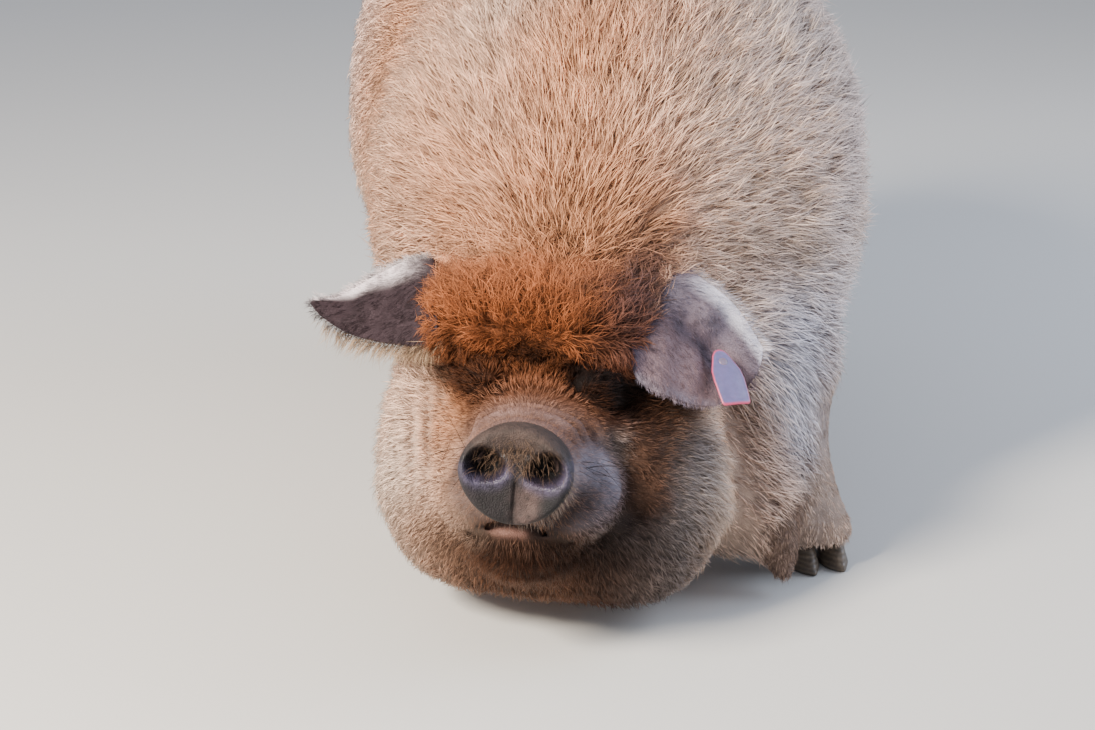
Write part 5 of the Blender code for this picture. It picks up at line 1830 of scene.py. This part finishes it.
# ---------------------------------------------------------------- bristles
def bristle_rows(scatter):
    """Roots, headings, lengths and droops of the stiff hairs of snout, lids and lips.

    Returned in the head's directions: a brush over the middle of the disc's top, hairs
    round its rim, lashes over each eye, and long thin whiskers beside the lips.
    """
    sets = []

    def keep(places, heading, shortest, longest, droop, width, paint):
        """Keeps one kind of hair, with lengths spread evenly from shortest to longest."""
        lengths = scatter.uniform(shortest, longest, len(places[0]))
        heading = np.stack(np.broadcast_arrays(*heading), axis=1)
        sets.append((np.stack(places, 1), heading, lengths, np.full(len(lengths), droop), width, paint))

    count = 400
    left = scatter.normal(size=count) * 0.014 + 0.002
    up = 0.024 + scatter.uniform(-0.020, 0.010, count) - 8 * left**2 + SNOUT_UP
    forward = SNOUT_REACH - 0.001 + scatter.uniform(-0.004, 0.001, count)
    heading = (left * 16 + scatter.normal(size=count) * 0.85, 0.70,
               -0.40 + scatter.normal(size=count) * 0.55)
    keep((left, forward, up), heading, 0.004, 0.017, 1.3, 0.00028, "#6d5747")
    count = 220
    turn = scatter.normal(size=count) * 0.50 - 0.55
    wide = scatter.uniform(0.86, 1.02, count)
    left = np.cos(turn) * SNOUT_HALF_WIDTH * 0.97 * wide
    up = np.sin(turn) * SNOUT_HALF_HEIGHT * 0.97 * wide
    forward = SNOUT_REACH - 0.004 - 0.050 * np.maximum(wide - 0.92, 0)
    heading = (np.cos(turn) + scatter.normal(size=count) * 0.3, 0.5,
               np.sin(turn) - 0.3 + scatter.normal(size=count) * 0.3)
    keep((left, forward, up + SNOUT_UP), heading, 0.005, 0.014, 0.8, 0.00024, "#75675e")
    count = 60
    for side in (-1, 1):
        share = scatter.uniform(-1, 1, count)
        left = side * EYE_LEFT + share * 0.0135
        up = EYE_UP + 0.0066 - 0.0035 * share**2 + scatter.normal(size=count) * 0.0006
        forward = EYE_FORWARD + 0.0118 - 0.004 * share**2
        heading = (share * 0.6, 1.0, -0.5 + scatter.normal(size=count) * 0.25)
        keep((left, forward, up), heading, 0.006, 0.013, 0.8, 0.00022, "#5a3d28")
        left = side * scatter.uniform(0.030, 0.070, count)
        up = scatter.uniform(-0.070, 0.020, count)
        forward = np.interp(np.abs(left), (0.030, 0.070), (0.150, 0.105))
        heading = (side * 1.0 + scatter.normal(size=count) * 0.3, 0.45,
                   scatter.normal(size=count) * 0.35 - 0.1)
        keep((left, forward, up), heading, 0.024, 0.062, 0.35, 0.00046, "#241b17")
    return sets


class OBJECT_OT_pig_bristles(bpy.types.Operator):
    """Bristles of the snout, lashes and whiskers"""

    bl_idname = "object.pig_bristles"
    bl_label = "Bristles"

    def execute(self, context):
        scatter = np.random.default_rng(context.scene.pig_coat.seed + 90)
        spines, widths, sides, colours = [], [], [], []
        rings = 4
        shares = np.linspace(0, 1, rings + 2)
        for roots, heading, length, droop, width, hex_value in bristle_rows(scatter):
            heading = unit(heading)
            path = [roots - heading * 0.001]
            for low, high in zip(shares, shares[1:]):
                heading = unit(heading + np.stack([0 * droop, 0 * droop, -droop * (high - low)], 1))
                path.append(path[-1] + heading * (length * (high - low))[:, None])
            path = np.stack(path, axis=1)
            spines.append(HEAD_CENTRE + from_head(*np.moveaxis(path, -1, 0)))
            taper = np.array((1.0, 0.9, 0.72, 0.45))
            widths.append(width * scatter.uniform(0.7, 1.3, len(roots))[:, None] * taper)
            sides.append(scatter.normal(size=(len(roots), 3)))
            tone = scatter.uniform(0.7, 1.2, len(roots))[:, None, None]
            colours.append(np.array(linear(hex_value)) * tone * np.ones((1, rings + 2, 1)))
        spine = np.concatenate(spines)
        patch = np.stack([np.linspace(0.02, 0.98, len(spine)), np.full(len(spine), 0.01)], axis=1)
        tuft_mesh("bristles", spine, np.concatenate(widths), np.concatenate(sides),
                  np.concatenate(colours), patch)
        return {"FINISHED"}


# ---------------------------------------------------------------- stage
FLOOR_HALF = 40.0
TARGET = place(-0.05, 0.05, 0.25)  # what both lights are turned to
KEY_PLACE, KEY_SIZE, KEY_COLOUR = place(-1.9, -1.5, 1.9), 0.8, (1.0, 0.90, 0.78)
FILL_PLACE, FILL_SIZE, FILL_COLOUR = place(2.4, 0.3, 1.5), 2.0, (0.72, 0.82, 1.0)
SKY_COLOUR, SKY_STRENGTH = (0.76, 0.83, 1.0, 1), 0.70
CAMERA_PLACE = place(-0.22, -1.854, 0.81)
CAMERA_DOWN, CAMERA_ASIDE = 18, -4  # degrees
SENSOR_WIDTH, CLIP_START = 36.0, 0.01  # millimetres, metres


def floor_material(colour):
    """Matt painted studio floor with a faint roller grain about 3 mm across."""
    material, node = material_called("studio floor, matt paint")
    grain = relief(node, noise(node, own_space(node), 300.0, 3.0), 0.12, 0.0004)
    surfaced(node, Base_Color=(*colour, 1), Roughness=0.85, Normal=grain)
    return material


def soft_light(name, where, size, power, colour):
    """A square area light at a place, turned to the target."""
    light = bpy.data.lights.new(name, "AREA")
    light.energy, light.size, light.color = power, size, colour
    thing = bpy.data.objects.new(name, light)
    bpy.context.scene.collection.objects.link(thing)
    thing.location = where
    thing.rotation_euler = Vector(TARGET - where).to_track_quat("-Z", "Y").to_euler()


class OBJECT_OT_pig_stage(bpy.types.Operator):
    """Floor, soft lights and camera"""

    bl_idname = "object.pig_stage"
    bl_label = "Stage"

    def execute(self, context):
        stage = context.scene.pig_stage
        corners = np.array([(-1, -1, 0), (1, -1, 0), (1, 1, 0), (-1, 1, 0)]) * FLOOR_HALF
        mesh = bpy.data.meshes.new("floor")
        mesh.from_pydata(corners.tolist(), [], [(0, 1, 2, 3)])
        floor = bpy.data.objects.new("floor", mesh)
        context.scene.collection.objects.link(floor)
        painted(floor, floor_material(tuple(stage.floor)))
        soft_light("key", KEY_PLACE, KEY_SIZE, stage.key_power, KEY_COLOUR)
        soft_light("fill", FILL_PLACE, FILL_SIZE, stage.fill_power, FILL_COLOUR)
        world = bpy.data.worlds.new("studio air")
        world.use_nodes = True
        sky = world.node_tree.nodes["Background"]
        sky.inputs["Color"].default_value = SKY_COLOUR
        sky.inputs["Strength"].default_value = SKY_STRENGTH
        context.scene.world = world
        camera = bpy.data.cameras.new("camera")
        camera.lens, camera.sensor_width, camera.clip_start = stage.lens, SENSOR_WIDTH, CLIP_START
        eye = bpy.data.objects.new("camera", camera)
        context.scene.collection.objects.link(eye)
        eye.location = CAMERA_PLACE
        eye.rotation_euler = (radians(90 - CAMERA_DOWN), 0, radians(CAMERA_ASIDE))
        context.scene.camera = eye
        return {"FINISHED"}


# ---------------------------------------------------------------- panel and running order
STEPS = [OBJECT_OT_pig_skin, OBJECT_OT_pig_snout, OBJECT_OT_pig_eyes, OBJECT_OT_pig_ears,
         OBJECT_OT_pig_claws, OBJECT_OT_pig_tag, OBJECT_OT_pig_coat, OBJECT_OT_pig_ear_fur,
         OBJECT_OT_pig_bristles, OBJECT_OT_pig_stage]


class VIEW3D_PT_pig(bpy.types.Panel):
    """Settings and steps of the pig"""

    bl_idname = "VIEW3D_PT_pig"
    bl_label = "Pig"
    bl_space_type = "VIEW_3D"
    bl_region_type = "UI"
    bl_category = "Pig"

    def draw(self, context):
        layout = self.layout
        for name, group in SETTINGS.items():
            box = layout.box()
            for key in group.__annotations__:
                box.prop(getattr(context.scene, name), key)
        for step in STEPS:
            layout.operator(step.bl_idname)


def register():
    """Registers the settings, the steps and the panel."""
    for name, group in SETTINGS.items():
        bpy.utils.register_class(group)
        setattr(bpy.types.Scene, name, PointerProperty(type=group))
    for step in (*STEPS, VIEW3D_PT_pig):
        bpy.utils.register_class(step)


def unregister():
    """Takes away what register added."""
    for step in reversed((*STEPS, VIEW3D_PT_pig)):
        bpy.utils.unregister_class(step)
    for name, group in reversed(SETTINGS.items()):
        delattr(bpy.types.Scene, name)
        bpy.utils.unregister_class(group)


def main():
    """Builds every piece in order."""
    register()
    for step in STEPS:
        getattr(bpy.ops.object, step.bl_idname.split(".")[1])()
    bpy.context.view_layer.update()


if __name__ == "__main__":
    main()
